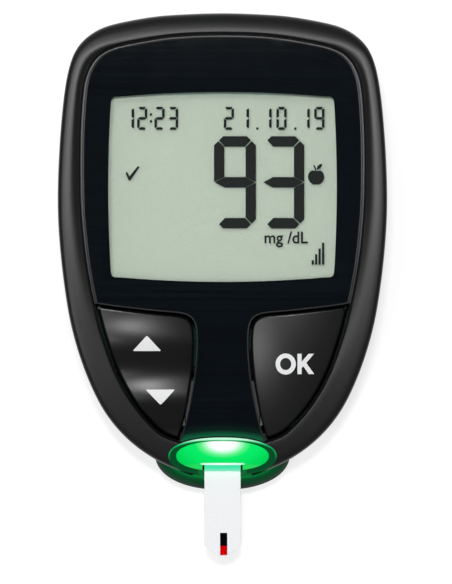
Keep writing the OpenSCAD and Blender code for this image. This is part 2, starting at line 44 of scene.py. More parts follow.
cameraSetup = {
    "aim": (0.59, -6.8),      # middle of the picture, mm
    "facePlane": 16.5,        # height that fills the picture, mm
    "away": 2000.0,           # mm
    "pictureHeight": 98.1,    # mm shown from top to bottom
}
bpy.ops.object.camera_add(
    location=(cameraSetup["aim"][0] * mm, cameraSetup["aim"][1] * mm,
              (cameraSetup["facePlane"] + cameraSetup["away"]) * mm),
    rotation=(0, 0, 0),
)
camera = bpy.context.object
camera.data.sensor_width = 36
camera.data.lens = 36 * cameraSetup["away"] / cameraSetup["pictureHeight"]
camera.data.clip_end = 20
bpy.context.scene.camera = camera
bpy.context.scene.view_settings.view_transform = "Standard"

lamps = {
    # name: place, width and length in metres, power in watts; none stands where the cover lens mirrors it
    "topBox": ((-0.012, 0.15, 1.00), 0.10, 0.08, 5.4),
    "keyBox": ((-0.25, -0.235, 1.00), 0.10, 0.12, 1.6),
    "sideBox": ((-0.20, 0.50, 0.85), 0.20, 0.20, 1.4),
}


def areaLamp(name, place, turn, width, length, power):
    bpy.ops.object.light_add(type="AREA", location=place, rotation=turn)
    lamp = bpy.context.object
    lamp.name = name
    lamp.data.shape = "RECTANGLE"
    lamp.data.size, lamp.data.size_y, lamp.data.energy = width, length, power
    return lamp


def aimed(place):
    # the turn of a soft box that looks at the object, its length along Y
    away = Vector(place).normalized()
    side = (Vector((1, 0, 0)) - away * away.x).normalized()
    return Matrix((side, away.cross(side), away)).transposed().to_euler()


for lampName, (lampPlace, *lampSettings) in lamps.items():
    areaLamp(lampName, lampPlace, aimed(lampPlace), *lampSettings)

# green light that the port throws on the strip
portGlow = areaLamp("portGlow", (0, -37.05 * mm, 10.05 * mm), (math.radians(-55), 0, 0),
                    6 * mm, 0.4 * mm, 0.000007)
portGlow.data.color = (0.0, 1.0, 0.35)
portGlow.visible_camera = False
print("camera and lamps placed")


# outlines, in millimetres

def smoothLine(points, steps, closed=False):
    count = len(points)
    spots = []
    for i in range(count if closed else count - 1):
        if closed:
            a, b, c, d = (points[(i + k) % count] for k in (-1, 0, 1, 2))
        else:
            a, b = points[max(i - 1, 0)], points[i]
            c, d = points[i + 1], points[min(i + 2, count - 1)]
        for s in range(steps):
            t = s / steps
            spots.append(tuple(
                0.5 * (2 * q + (r - p) * t + (2 * p - 5 * q + 4 * r - u) * t * t
                       + (3 * q - p - 3 * r + u) * t ** 3)
                for p, q, r, u in zip(a, b, c, d)))
    if not closed:
        spots.append(tuple(points[-1]))
    return spots


def wholeOutline(half):
    # right half from the top to the nose, then back up on the left
    return list(half) + [(-x, y) for x, y in reversed(half[1:-1])]


def spaced(points, count):
    # the closed line again, with its points evenly spaced
    ring = list(points) + [points[0]]
    runs = [math.dist(ring[i], ring[i + 1]) for i in range(len(points))]
    step, spots, i, walked = sum(runs) / count, [], 0, 0.0
    for k in range(count):
        goal = k * step
        while walked + runs[i] < goal:
            walked += runs[i]
            i += 1
        t = (goal - walked) / runs[i] if runs[i] else 0
        spots.append(tuple(p + (q - p) * t for p, q in zip(ring[i], ring[i + 1])))
    return spots


def relaxed(points, passes):
    for _ in range(passes):
        points = [tuple((a + 2 * b + c) / 4 for a, b, c in zip(points[i - 1], p, points[(i + 1) % len(points)]))
                  for i, p in enumerate(points)]
    return points


def inwards(points):
    # unit normals that point into a clockwise outline
    found = []
    for i in range(len(points)):
        (ax, ay), (bx, by) = points[i - 1], points[(i + 1) % len(points)]
        run = math.hypot(bx - ax, by - ay)
        found.append(((by - ay) / run, (ax - bx) / run))
    return found


def inset(points, distance):
    return [(x + nx * distance, y + ny * distance) for (x, y), (nx, ny) in zip(points, inwards(points))]


def meeting(start, run, a, b):
    # shares of the run from the start, and of the way from a to b, where the two meet; None if parallel
    (x, y), (runX, runY), (ax, ay), (bx, by) = start, run, a, b
    den = runX * (by - ay) - runY * (bx - ax)
    if abs(den) < 1e-12:
        return None
    return (((ax - x) * (by - ay) - (ay - y) * (bx - ax)) / den, ((ax - x) * runY - (ay - y) * runX) / den)


def crossing(lineA, lineB):
    # first place where open line A meets open line B: index in A, index in B, point
    for i in range(len(lineA) - 1):
        (x, y), (nextX, nextY) = lineA[i], lineA[i + 1]
        run = (nextX - x, nextY - y)
        for j in range(len(lineB) - 1):
            shares = meeting((x, y), run, lineB[j], lineB[j + 1])
            if shares and 0 <= shares[0] <= 1 and 0 <= shares[1] <= 1:
                return i, j, (x + run[0] * shares[0], y + run[1] * shares[0])
    return None


def superellipse(a, b, lowB, middleY, power, count):
    # b is the upper half height, lowB the lower one
    spots = []
    for i in range(count):
        t = 2 * math.pi * i / count
        spots.append((a * math.copysign(abs(math.sin(t)) ** (2 / power), math.sin(t)),
                      middleY + (b if math.cos(t) > 0 else -lowB) * abs(math.cos(t)) ** (2 / power)))
    return spaced(spots, count)


face = {
    "partZ": 8, "top": 17.5, "noseDrop": 6, "endDrop": 0.35, "flatY": 14, "endY": 40.1, "noseY": -37.6,
    "rimRise": 0.5, "lensThickness": 1.3, "maskThickness": 0.15,
    "caseHalf": [
        (0, 40.1), (8.4, 39.8), (13, 39.3), (19.3, 38), (22.3, 36.5), (24.5, 34.3), (25.8, 31), (26.7, 25.8),
        (27.4, 17.7), (27.7, 9.5), (27.5, 2.9), (26.7, -5.1), (25.3, -13.2), (22.7, -21.3), (19.2, -28),
        (14, -33.3), (7.1, -36.95), (0, -37.6)],
    "faceHalf": [
        (0, 36.4), (8, 36.1), (15.6, 34.9), (19.4, 33.8), (21.5, 32.1), (22.8, 29.5), (23.4, 26), (23.8, 18.7),
        (23.8, 10.3), (23.5, 4.5), (22.6, -3.1), (21, -10.9), (19.8, -15.1), (18, -20.1), (15.6, -24.6),
        (12.4, -28.7), (8.8, -31.4), (0, -33)],
    "neck": [
        (25, -8.1), (18.9, -9.1), (12.2, -9.9), (7.4, -10.35), (5.6, -10.9), (4.65, -12.2), (4.35, -14.9),
        (4.5, -18.5), (4.9, -22), (5.8, -27), (6.8, -30.8), (7.8, -33.2)],
    "portY": -34.45, "portA": 9.1, "portB": 3.15, "portLowB": 3.55, "dishA": 7.8, "dishB": 2.55, "portPower": 2.2,
}


def lensTop(y):
    if y > face["flatY"]:
        return face["top"] - face["endDrop"] * ((y - face["flatY"]) / (face["endY"] - face["flatY"])) ** 2
    return face["top"] - face["noseDrop"] * ((face["flatY"] - y) / (face["flatY"] - face["noseY"])) ** 2.6


def maskUnder(y):
    return lensTop(y) - face["lensThickness"] - face["maskThickness"]


caseRing = relaxed(spaced(smoothLine(wholeOutline(face["caseHalf"]), 12, True), 320), 6)
faceLine = relaxed(spaced(smoothLine(wholeOutline(face["faceHalf"]), 12, True), 480), 6)
caseNormals = inwards(caseRing)


def reach(point, normal, target):
    # how far along the normal the target outline lies
    ways = [meeting(point, normal, target[i - 1], target[i]) for i in range(len(target))]
    return min(way[0] for way in ways if way and way[0] > 0 and -1e-9 <= way[1] <= 1)


rimWidths = [reach(p, n, faceLine) for p, n in zip(caseRing, caseNormals)]
faceRing = [(x + nx * w, y + ny * w) for (x, y), (nx, ny), w in zip(caseRing, caseNormals, rimWidths)]
portRing = superellipse(face["portA"], face["portB"], face["portLowB"], face["portY"], face["portPower"], 144)
dishRing = superellipse(face["dishA"], face["dishB"], face["dishB"], face["portY"], face["portPower"], 144)
neckLine = smoothLine(face["neck"], 8)
print("outlines drawn")


# making pieces

def choose(*pieces):
    # selects these pieces only; the first is the active one
    bpy.ops.object.select_all(action="DESELECT")
    for piece in pieces:
        piece.select_set(True)
    bpy.context.view_layer.objects.active = pieces[0]


def mode(name):
    bpy.ops.object.mode_set(mode=name)


def named(name):
    piece = bpy.context.object
    piece.name = name
    piece.data.name = name
    return piece


def tidyMesh(piece, angle=32, merge=0.0):
    # normals outward, smooth faces with sharp edges over the angle, object at the origin
    choose(piece)
    bpy.ops.object.transform_apply(location=True, rotation=True, scale=True)
    mode("EDIT")
    bpy.ops.mesh.select_all(action="SELECT")
    if merge:
        bpy.ops.mesh.remove_doubles(threshold=merge * mm)
    bpy.ops.mesh.normals_make_consistent(inside=False)
    mode("OBJECT")
    bpy.ops.object.shade_smooth_by_angle(angle=math.radians(angle))
    return piece


def loft(name, rings, wrap=False):
    # extrudes a circle from ring to ring; each ring is a list of (x, y, z) in millimetres
    count = len(rings[0])
    bpy.ops.mesh.primitive_circle_add(vertices=count, radius=mm, fill_type="NOTHING" if wrap else "NGON")
    piece = named(name)
    mode("EDIT")
    form = bmesh.from_edit_mesh(piece.data)
    form.verts.ensure_lookup_table()
    for vert, spot in zip(form.verts, rings[0]):
        vert.co = Vector(spot) * mm
    if not wrap:
        bpy.ops.mesh.select_all(action="DESELECT")
        bpy.ops.mesh.select_non_manifold()
    order = list(range(count))
    for k, spots in enumerate(rings[1:], 1):
        bpy.ops.mesh.extrude_edges_indiv()
        form = bmesh.from_edit_mesh(piece.data)
        form.verts.ensure_lookup_table()
        before = {index: i for i, index in enumerate(order)}
        order = [0] * count
        for vert in form.verts[count * k:count * (k + 1)]:
            for edge in vert.link_edges:
                i = before.get(edge.other_vert(vert).index)
                if i is not None:
                    vert.co = Vector(spots[i]) * mm
                    order[i] = vert.index
    bmesh.update_edit_mesh(piece.data)
    if not wrap:
        bpy.ops.mesh.edge_face_add()
    mode("OBJECT")
    return tidyMesh(piece, merge=0.0005 if wrap else 0.0)


def flatRing(points, z):
    if callable(z):
        return [(x, y, z(y)) for x, y in points]
    return [(x, y, z) for x, y in points]


def shrunk(points, share, middle=(0, 2)):
    return [(middle[0] + (x - middle[0]) * share, middle[1] + (y - middle[1]) * share) for x, y in points]


def prism(points, low, high, name="tool"):
    return loft(name, [flatRing(points, low), flatRing(points, high)])


def block(low, high, name="tool"):
    bpy.ops.mesh.primitive_cube_add(size=1, location=[(a + b) / 2 * mm for a, b in zip(low, high)])
    piece = named(name)
    piece.scale = [(b - a) * mm for a, b in zip(low, high)]
    return tidyMesh(piece)


def drum(x, y, radius, low, high, name="tool", around=48, along="Z"):
    # a round bar; along X, x and y are its height and place along Y, and low and high its ends
    middle = (low + high) / 2
    place = (x, y, middle) if along == "Z" else (middle, x, y)
    turn = (0, 0, 0) if along == "Z" else (0, math.pi / 2, 0)
    bpy.ops.mesh.primitive_cylinder_add(vertices=around, radius=radius * mm, depth=(high - low) * mm,
                                        location=[c * mm for c in place], rotation=turn)
    return tidyMesh(named(name))


def combine(piece, tools, operation):
    for tool in tools:
        choose(piece)
        bpy.ops.object.modifier_add(type="BOOLEAN")
        step = piece.modifiers[-1]
        step.operation = operation
        step.object = tool
        step.solver = "MANIFOLD"
        bpy.ops.object.modifier_apply(modifier=step.name)
        bpy.data.objects.remove(tool)
    return piece


def cut(piece, *tools):
    return combine(piece, tools, "DIFFERENCE")


def fuse(piece, *tools):
    return combine(piece, tools, "UNION")


def overlap(piece, *tools):
    return combine(piece, tools, "INTERSECT")


def joined(name, parts):
    choose(*parts)
    if len(parts) > 1:
        bpy.ops.object.join()
    return named(name)


def plate(name, outlines, low, high):
    # flat shapes with straight sides
    parts = []
    for outline in outlines:
        bpy.ops.mesh.primitive_circle_add(vertices=len(outline), radius=mm, fill_type="NGON")
        part = named(name)
        mode("EDIT")
        form = bmesh.from_edit_mesh(part.data)
        for vert, (x, y) in zip(form.verts, outline):
            vert.co = Vector((x, y, low)) * mm
        bmesh.update_edit_mesh(part.data)
        bpy.ops.mesh.extrude_region_move(TRANSFORM_OT_translate={"value": (0, 0, (high - low) * mm)})
        mode("OBJECT")
        parts.append(part)
    return tidyMesh(joined(name, parts))


def softEdges(piece, width, segments, chosen, angle=32):
    # bevels the edges whose middle, in millimetres, is chosen
    choose(piece)
    mode("EDIT")
    bpy.ops.mesh.select_mode(type="EDGE")
    bpy.ops.mesh.select_all(action="DESELECT")
    form = bmesh.from_edit_mesh(piece.data)
    for edge in form.edges:
        if len(edge.link_faces) == 2 and edge.calc_face_angle(0) > math.radians(angle):
            middle = (edge.verts[0].co + edge.verts[1].co) / 2 / mm
            edge.select_set(chosen(middle))
    bmesh.update_edit_mesh(piece.data)
    bpy.ops.mesh.bevel(offset=width * mm, segments=segments, affect="EDGES")
    bpy.ops.mesh.select_mode(type="VERT")
    mode("OBJECT")
    return piece


def drape(piece, height, stepY, stepX=0.0, angle=32):
    # cuts a flat piece into strips, so that it bends, and lifts each point by height(x, y)
    choose(piece)
    xs = [v.co.x / mm for v in piece.data.vertices]
    ys = [v.co.y / mm for v in piece.data.vertices]
    mode("EDIT")
    for values, step, normal in ((ys, stepY, (0, 1, 0)), (xs, stepX, (1, 0, 0))):
        if not step:
            continue
        place = min(values) + step * 0.513
        while place < max(values) - step * 0.2:
            bpy.ops.mesh.select_all(action="SELECT")
            bpy.ops.mesh.bisect(plane_co=[c * place * mm for c in normal], plane_no=normal)
            place += step
    form = bmesh.from_edit_mesh(piece.data)
    for vert in form.verts:
        vert.co.z += height(vert.co.x / mm, vert.co.y / mm) * mm
    bmesh.update_edit_mesh(piece.data)
    mode("OBJECT")
    return tidyMesh(piece, angle)


def dress(piece, material, body, slot, *replaced):
    piece.data.materials.clear()
    piece.data.materials.append(material)
    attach(piece, body)
    if replaced:
        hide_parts(*replaced)
    print("made", piece.name, len(piece.data.polygons), "faces")
    return piece


def repaint(piece, *coats):
    # a coat is a material and a test; it goes on the faces that pass the test and have no coat yet
    for k, (material, chosen) in enumerate(coats, 1):
        piece.data.materials.append(material)
        for side in piece.data.polygons:
            if not side.material_index and chosen(side.center / mm, side):
                side.material_index = k


# finishes

def shaderOf(material):
    return material.node_tree.nodes["Principled BSDF"]


def finish(name, colour, roughness, specular=0.5, **sockets):
    material = bpy.data.materials.new(name)
    material.use_nodes = True
    sockets.update({"Base Color": (*colour, 1), "Roughness": roughness, "Specular IOR Level": specular})
    for socket, value in sockets.items():
        shaderOf(material).inputs[socket].default_value = value
    return material


def addNode(material, kind, **settings):
    node = material.node_tree.nodes.new(kind)
    for key, value in settings.items():
        if key in node.inputs:
            node.inputs[key].default_value = value
        else:
            setattr(node, key, value)
    return node


def wire(source, target):
    source.id_data.links.new(source, target)


def noiseOn(material, size, detail=2.0):
    # a noise whose grains are about size millimetres, on the piece's own place
    place = addNode(material, "ShaderNodeTexCoord")
    noise = addNode(material, "ShaderNodeTexNoise", Scale=1 / (size * mm), Detail=detail, Roughness=0.5)
    wire(place.outputs["Object"], noise.inputs["Vector"])
    return noise


def rampOn(material, source, stops, target):
    ramp = addNode(material, "ShaderNodeValToRGB")
    while len(ramp.color_ramp.elements) < len(stops):
        ramp.color_ramp.elements.new(0.5)
    for element, (at, colour) in zip(ramp.color_ramp.elements, stops):
        element.position = at
        element.color = (*colour, 1)
    wire(source, ramp.inputs["Fac"])
    wire(ramp.outputs["Color"], target)


def rangeOn(material, source, low, high, target):
    spread = addNode(material, "ShaderNodeMapRange")
    spread.inputs["To Min"].default_value = low
    spread.inputs["To Max"].default_value = high
    wire(source, spread.inputs["Value"])
    wire(spread.outputs["Result"], target)


def bumpOn(material, source, height):
    bump = addNode(material, "ShaderNodeBump", Distance=height * mm, Strength=1.0)
    wire(source, bump.inputs["Height"])
    wire(bump.outputs["Normal"], shaderOf(material).inputs["Normal"])


def grained(name, dark, light, roughLow, roughHigh, size, height, **sockets):
    # moulded plastic: fine grain in colour, gloss and height
    material = finish(name, dark, roughLow, **sockets)
    shader = shaderOf(material)
    grain = noiseOn(material, size, 3)
    rampOn(material, grain.outputs["Fac"], [(0.3, dark), (0.7, light)], shader.inputs["Base Color"])
    rangeOn(material, grain.outputs["Fac"], roughLow, roughHigh, shader.inputs["Roughness"])
    bumpOn(material, grain.outputs["Fac"], height)
    return material


def hazed(material, size, low, high):
    # gloss that changes a little from place to place
    haze = noiseOn(material, size)
    rangeOn(material, haze.outputs["Fac"], low, high, shaderOf(material).inputs["Roughness"])


def glowing(material, middle, reachX, reachY, stops, strength):
    # light that fades with the distance from a place: stops go from the rim of the reach, 0, to its middle, 1
    shader = shaderOf(material)
    place = addNode(material, "ShaderNodeTexCoord")
    scaled = addNode(material, "ShaderNodeMapping")
    scaled.vector_type = "POINT"
    scaled.inputs["Scale"].default_value = (1 / (reachX * mm), 1 / (reachY * mm), 0)
    scaled.inputs["Location"].default_value = (-middle[0] / reachX, -middle[1] / reachY, 0)
    fade = addNode(material, "ShaderNodeTexGradient")
    fade.gradient_type = "SPHERICAL"
    wire(place.outputs["Object"], scaled.inputs["Vector"])
    wire(scaled.outputs["Vector"], fade.inputs["Vector"])
    rampOn(material, fade.outputs["Fac"], stops, shader.inputs["Emission Color"])
    shader.inputs["Emission Strength"].default_value = strength
    return material


casePlastic = grained("casePlastic", (0.002, 0.002, 0.0023), (0.006, 0.006, 0.0065), 0.33, 0.43, 0.20, 0.008,
                      specular=0.33)
keyPlastic = grained("keyPlastic", (0.003, 0.003, 0.0032), (0.005, 0.005, 0.0053), 0.27, 0.32, 0.16, 0.003,
                     specular=0.3)
# matte black of the key wells' floors and of the pins in the gaps; on the light guide's shelf it is painted shade
wellBlack = grained("wellBlack", (0.003, 0.003, 0.003), (0.006, 0.006, 0.006), 0.7, 0.8, 0.3, 0.004, specular=0.05)
innerPlastic = grained("innerPlastic", (0.012, 0.012, 0.013), (0.022, 0.022, 0.023), 0.5, 0.65, 0.4, 0.01)
whitePlastic = grained("whitePlastic", (0.62, 0.63, 0.60), (0.72, 0.72, 0.70), 0.45, 0.6, 0.5, 0.01)
foamBlack = grained("foamBlack", (0.008, 0.008, 0.008), (0.03, 0.03, 0.03), 0.85, 1.0, 0.25, 0.06)
chipBlack = grained("chipBlack", (0.012, 0.012, 0.013), (0.03, 0.03, 0.032), 0.5, 0.7, 0.1, 0.01)
legendWhite = grained("legendWhite", (0.74, 0.74, 0.74), (0.80, 0.80, 0.80), 0.5, 0.6, 0.3, 0.004)
lcdInk = grained("lcdInk", (0.013, 0.016, 0.013), (0.020, 0.023, 0.020), 0.55, 0.65, 0.3, 0.002, specular=0.05)
ceramicChip = grained("ceramicChip", (0.30, 0.20, 0.12), (0.46, 0.34, 0.22), 0.45, 0.6, 0.3, 0.01)
zebraRubber = grained("zebraRubber", (0.10, 0.10, 0.11), (0.20, 0.20, 0.22), 0.6, 0.75, 0.4, 0.01)
carbonTrace = grained("carbonTrace", (0.012, 0.012, 0.013), (0.04, 0.04, 0.042), 0.5, 0.7, 0.15, 0.01)
labelFilm = grained("labelFilm", (0.30, 0.31, 0.32), (0.36, 0.37, 0.38), 0.35, 0.45, 0.6, 0.002)

# cover lens: clear, with its ground edge dark and shiny; the edge's grey, a little lighter than the black mask, is
# partly a painted highlight along the bevel
lensClear = finish("lensClear", (0.02, 0.03, 0.04), 0.06, Alpha=0.05)
hazed(lensClear, 3.0, 0.025, 0.05)
lensEdge = finish("lensEdge", (0.034, 0.036, 0.038), 0.22, specular=0.3)
hazed(lensEdge, 1.5, 0.18, 0.3)

# black ink behind the lens, lit green beside the port
maskInk = finish("maskInk", (0.004, 0.006, 0.008), 0.6, 0.0)
maskHaze = noiseOn(maskInk, 0.25, 2)
rampOn(maskInk, maskHaze.outputs["Fac"], [(0.3, (0.0028, 0.0042, 0.0056)), (0.7, (0.0044, 0.0064, 0.0082))],
       shaderOf(maskInk).inputs["Base Color"])
glowing(maskInk, (0, face["portY"]), face["portA"] * 1.75, face["portB"] * 1.75,
        [(0.0, (0, 0, 0)), (0.2, (0.001, 0.012, 0.006)), (0.43, (0.004, 0.16, 0.06)), (1.0, (0.01, 0.3, 0.1))],
        1.0)

# display: glass over a pale grey-green film
frontGlass = finish("frontGlass", (0.30, 0.34, 0.29), 0.05, Alpha=0.03)
hazed(frontGlass, 2.0, 0.03, 0.05)
paleFilm = grained("paleFilm", (0.585, 0.685, 0.56), (0.685, 0.785, 0.645), 0.6, 0.75, 0.22, 0.004, specular=0.1)


def paintedShadeEnd(material, start, end, colour):
    # painted shade: the base colour turns to a shaded colour from y = start to y = end, in millimetres
    shader = shaderOf(material)
    before = shader.inputs["Base Color"].links[0].from_socket
    place = addNode(material, "ShaderNodeTexCoord")
    axes = addNode(material, "ShaderNodeSeparateXYZ")
    fade = addNode(material, "ShaderNodeMapRange")
    fade.interpolation_type = "SMOOTHSTEP"
    fade.inputs["From Min"].default_value = start * mm
    fade.inputs["From Max"].default_value = end * mm
    blend = addNode(material, "ShaderNodeMixRGB")
    blend.inputs["Color2"].default_value = (*colour, 1)
    wire(place.outputs["Object"], axes.inputs["Vector"])
    wire(axes.outputs["Y"], fade.inputs["Value"])
    wire(fade.outputs["Result"], blend.inputs["Fac"])
    wire(before, blend.inputs["Color1"])
    wire(blend.outputs["Color"], shader.inputs["Base Color"])


# painted shade: the display's film turns darker and bluer along its top edge, under the shadow of the mask above it
paintedShadeEnd(paleFilm, 25.4, 27.4, (0.38, 0.56, 0.48))


def metal(name, *values):
    return grained(name, *values, 0.004, Metallic=1.0)


tinnedMetal = metal("tinnedMetal", (0.42, 0.42, 0.41), (0.58, 0.58, 0.57), 0.28, 0.42, 0.6)
steel = metal("steel", (0.30, 0.30, 0.31), (0.44, 0.44, 0.45), 0.25, 0.4, 0.4)
contactGold = metal("contactGold", (0.62, 0.44, 0.16), (0.78, 0.58, 0.24), 0.22, 0.35, 0.3)
cellCan = metal("cellCan", (0.50, 0.50, 0.50), (0.62, 0.62, 0.61), 0.22, 0.36, 1.2)

# board: green mask over copper lines
boardGreen = finish("boardGreen", (0.003, 0.025, 0.012), 0.6, specular=0.1)
boardPlace = addNode(boardGreen, "ShaderNodeTexCoord")
boardLines = addNode(boardGreen, "ShaderNodeTexBrick", Scale=420.0)
boardLines.inputs["Mortar Size"].default_value = 0.03
boardLines.inputs["Color1"].default_value = (0.002, 0.022, 0.010, 1)
boardLines.inputs["Color2"].default_value = (0.003, 0.030, 0.014, 1)
boardLines.inputs["Mortar"].default_value = (0.010, 0.065, 0.030, 1)
wire(boardPlace.outputs["Object"], boardLines.inputs["Vector"])
wire(boardLines.outputs["Color"], shaderOf(boardGreen).inputs["Base Color"])
bumpOn(boardGreen, boardLines.outputs["Fac"], 0.02)

# port: a lit dish inside a smoked ring and chin
litGuide = finish("litGuide", (0.0, 0.05, 0.02), 0.4, 0.1)
glowing(litGuide, (0.1, -32.3), 9.4, 5.0,
        [(0.0, (0.0, 0.58, 0.07)), (0.3, (0.0, 0.76, 0.11)), (0.5, (0.0, 0.81, 0.12)), (0.60, (0.12, 0.86, 0.26)),
         (0.68, (0.42, 0.94, 0.55)), (0.75, (0.85, 1.0, 0.90)), (0.82, (1.0, 1.0, 1.0))], 1.0)
litLine = finish("litLine", (0.0, 0.05, 0.02), 0.4)
glowing(litLine, (0, -35.8), 5.0, 5.0,
        [(0.0, (0.10, 0.80, 0.35)), (0.45, (0.60, 1.0, 0.75)), (1.0, (0.95, 1.0, 0.95))], 1.0)
litLip = finish("litLip", (0.0, 0.05, 0.03), 0.4, 0.1)
glowing(litLip, (0, -35.95), 40.0, 1.15,
        [(0.0, (0.30, 0.76, 0.54)), (0.5, (0.05, 0.74, 0.38)), (1.0, (0.004, 0.72, 0.30))], 1.0)
smokedPort = finish("smokedPort", (0.001, 0.005, 0.003), 0.45, 0.03)
smokeGlow = addNode(smokedPort, "ShaderNodeAttribute", attribute_name="glow")
rampOn(smokedPort, smokeGlow.outputs["Fac"],
       [(0.0, (0, 0, 0)), (0.2, (0.001, 0.012, 0.006)), (0.45, (0.001, 0.065, 0.017)), (0.62, (0.003, 0.24, 0.045)),
        (0.82, (0.0, 0.56, 0.18)), (1.0, (0.55, 1.0, 0.72))], shaderOf(smokedPort).inputs["Emission Color"])
shaderOf(smokedPort).inputs["Emission Strength"].default_value = 1.0
portLight = grained("portLight", (0.10, 0.12, 0.09), (0.16, 0.18, 0.14), 0.4, 0.5, 0.3, 0.004)

# strip: white film, dark reagent, red sample
stripFilm = grained("stripFilm", (0.775, 0.775, 0.79), (0.815, 0.815, 0.83), 0.35, 0.5, 0.3, 0.002)
reagentInk = grained("reagentInk", (0.001, 0.001, 0.001), (0.004, 0.003, 0.003), 0.3, 0.5, 0.2, 0.004,
                     specular=0.0)
sampleRed = grained("sampleRed", (0.30, 0.0, 0.0), (0.90, 0.001, 0.001), 0.3, 0.4, 0.5, 0.004, specular=0.0)
print("finishes mixed")

rim = {
    # inset from the outline and drop below the crest, beside the display and then at the top end
    "outside": [(0.01, 2.6, 0.03, 2.6), (0.02, 1.7, 0.07, 2.0), (0.035, 1.05, 0.13, 1.6), (0.06, 0.70, 0.24, 1.28),
                (0.11, 0.47, 0.42, 1.02), (0.20, 0.31, 0.7, 0.78), (0.34, 0.18, 1.1, 0.53), (0.5, 0.105, 1.55, 0.33),
                (0.70, 0.052, 2.0, 0.18), (1.05, 0.016, 2.5, 0.065), (1.5, 0, 3.05, 0)],
    # share of the way from the crest to the chamfer, and drops beside the display, at the top and low down
    "inside": [(0.29, 0.024, 0.0, 0.0), (0.46, 0.066, 0.001, 0.002), (0.63, 0.14, 0.003, 0.006),
               (0.8, 0.255, 0.008, 0.014), (1.0, 0.42, 0.02, 0.05)],
    # distance from the chamfer's start, and drops
    "ledge": [(0.05, 0.43, 0.06, 0.09), (0.09, 0.455, 0.14, 0.12), (0.17, 0.52, 0.26, 0.22), (0.29, 0.62, 0.47, 0.40),
              (0.34, 0.665, 0.55, 0.48), (0.40, 0.72, 0.565, 0.58)],
    "edgeRadius": 0.08,
    "wall": 2.0,
}


def crest(y):
    return lensTop(y) + face["rimRise"]


def rimProfile(ny, width):
    # the profile at one place of the rim: ny is -1 at the top end and 1 at the nose
    lean = max(-ny, 0) ** 2
    sink = min(max(ny, 0) / 0.4, 1)

    def drop(side, top, low):
        return side + (top - side) * lean + (low - side) * sink

    spots = [(a + (c - a) * lean, b + (d - b) * lean) for a, b, c, d in rim["outside"]]
    crestAt = spots[-1][0]
    ledgeAt = width - rim["edgeRadius"] - rim["ledge"][-1][0]
    spots += [(crestAt + (ledgeAt - crestAt) * share, drop(*drops)) for share, *drops in rim["inside"]]
    spots += [(ledgeAt + way, drop(*drops)) for way, *drops in rim["ledge"]]
    return smoothLine(spots, 3)


def rimRings():
    rings = []
    for (x, y), (nx, ny), width in zip(caseRing, caseNormals, rimWidths):
        rings.append([(x + nx * d, y + ny * d, crest(y + ny * d) - drop) for d, drop in rimProfile(ny, width)])
    return [list(ring) for ring in zip(*rings)]


def rimEdgeRing(turn):
    # rounds the rim's inner edge, turn from 0 to 1
    spots, r = [], rim["edgeRadius"]
    for (x, y), (nx, ny), width in zip(caseRing, caseNormals, rimWidths):
        d = width - r + r * math.sin(turn * math.pi / 2)
        edgeZ = crest(y + ny * (width - r)) - rim["ledge"][-1][1]
        spots.append((x + nx * d, y + ny * d, edgeZ - r * (1 - math.cos(turn * math.pi / 2))))
    return spots


skinRings = [flatRing(caseRing, face["partZ"])]
skinRings += rimRings()
skinRings += [rimEdgeRing(t) for t in (0.33, 0.67, 1.0)]
skinRings += [flatRing(faceRing, maskUnder)]
skinRings += [flatRing(shrunk(faceRing, s), maskUnder) for s in (0.94, 0.8, 0.64, 0.48, 0.32, 0.16, 0.03)]
frontCase = loft("frontCase", skinRings)

hollowRing = inset(caseRing, rim["wall"])
upperHollow = overlap(prism(hollowRing, 7, 15), block((-60, -8.6, 0), (60, 39, 60)))
lowerHollow = loft("tool", [flatRing(hollowRing, 7), flatRing(hollowRing, lambda y: maskUnder(y) - 1.2)]
                   + [flatRing(shrunk(hollowRing, s), lambda y: maskUnder(y) - 1.2)
                      for s in (0.85, 0.7, 0.55, 0.4, 0.25, 0.1, 0.02)])
overlap(lowerHollow, block((-60, -36, 0), (60, -8.59, 60)))
cut(frontCase, upperHollow, lowerHollow)


def keyRegion(outline, gap):
    # the right key's region: beside the neck and inside the rim
    top = outline[:len(outline) // 2 + 1]
    i, j, high = crossing(top, neckLine)
    rest = top[i + 1:]
    k, m, low = crossing(rest, neckLine[j + 1:])
    region = [high] + rest[:k + 1] + [low] + list(reversed(neckLine[j + 1:j + 2 + m]))
    return inset(spaced(region, 260), gap)


def mirrored(points):
    return [(-x, y) for x, y in reversed(points)]


wellRing = keyRegion(inset(faceRing, 0.03), 0)
port = {"floor": 8.8, "notch": 4.1, "guideHalf": 6.8, "backY": -31.9, "backZ": 12.6, "lipY": -35.9, "lipZ": 10.0,
        "lipReach": 1.05}
domes = {"up": (-12.7, -15.3), "down": (-10.3, -24.5), "ok": (12.2, -18.9), "clear": 8.92, "okClear": 9.35,
         "post": 1.0, "stem": 1.5}
rocker = {"y": -19.9, "z": 12.0, "pinRadius": 0.7, "earLeft": -20.7, "earRight": -3.6, "degrees": 4.0}
screws = {"places": [(-13, 35.2), (13, 35.2), (0, -13.6)], "shank": 1.0, "head": 1.9, "boss": 2.2}
board = {"low": 7.2, "top": 8.4}

for x, y in screws["places"][:2]:
    fuse(frontCase, drum(x, y, screws["boss"], face["partZ"], 15.05))
neckX, neckY = screws["places"][2]
fuse(frontCase, drum(neckX, neckY, screws["boss"], board["top"], maskUnder(neckY) - 1.0))
cut(frontCase, block((-20.2, -6.6, 13), (20.2, 28.4, 22)))               # room of the display
cut(frontCase, prism(wellRing, 7.0, 24), prism(mirrored(wellRing), 7.0, 24))
# ears that carry the rocker
for x in (rocker["earLeft"], rocker["earRight"]):
    fuse(frontCase, block((x - 0.7, rocker["y"] - 1.7, 10.7), (x + 0.7, rocker["y"] + 1.7, 13.2)))
# bridge under the OK key
for lowX, highX, low, high in ((4, 20.2, 10, 11.5), (3, 4.2, 10.01, 13.6), (19, 20.6, 10.01, 13.6)):
    fuse(frontCase, block((lowX, -21.2, low), (highX, -16.6, high)))
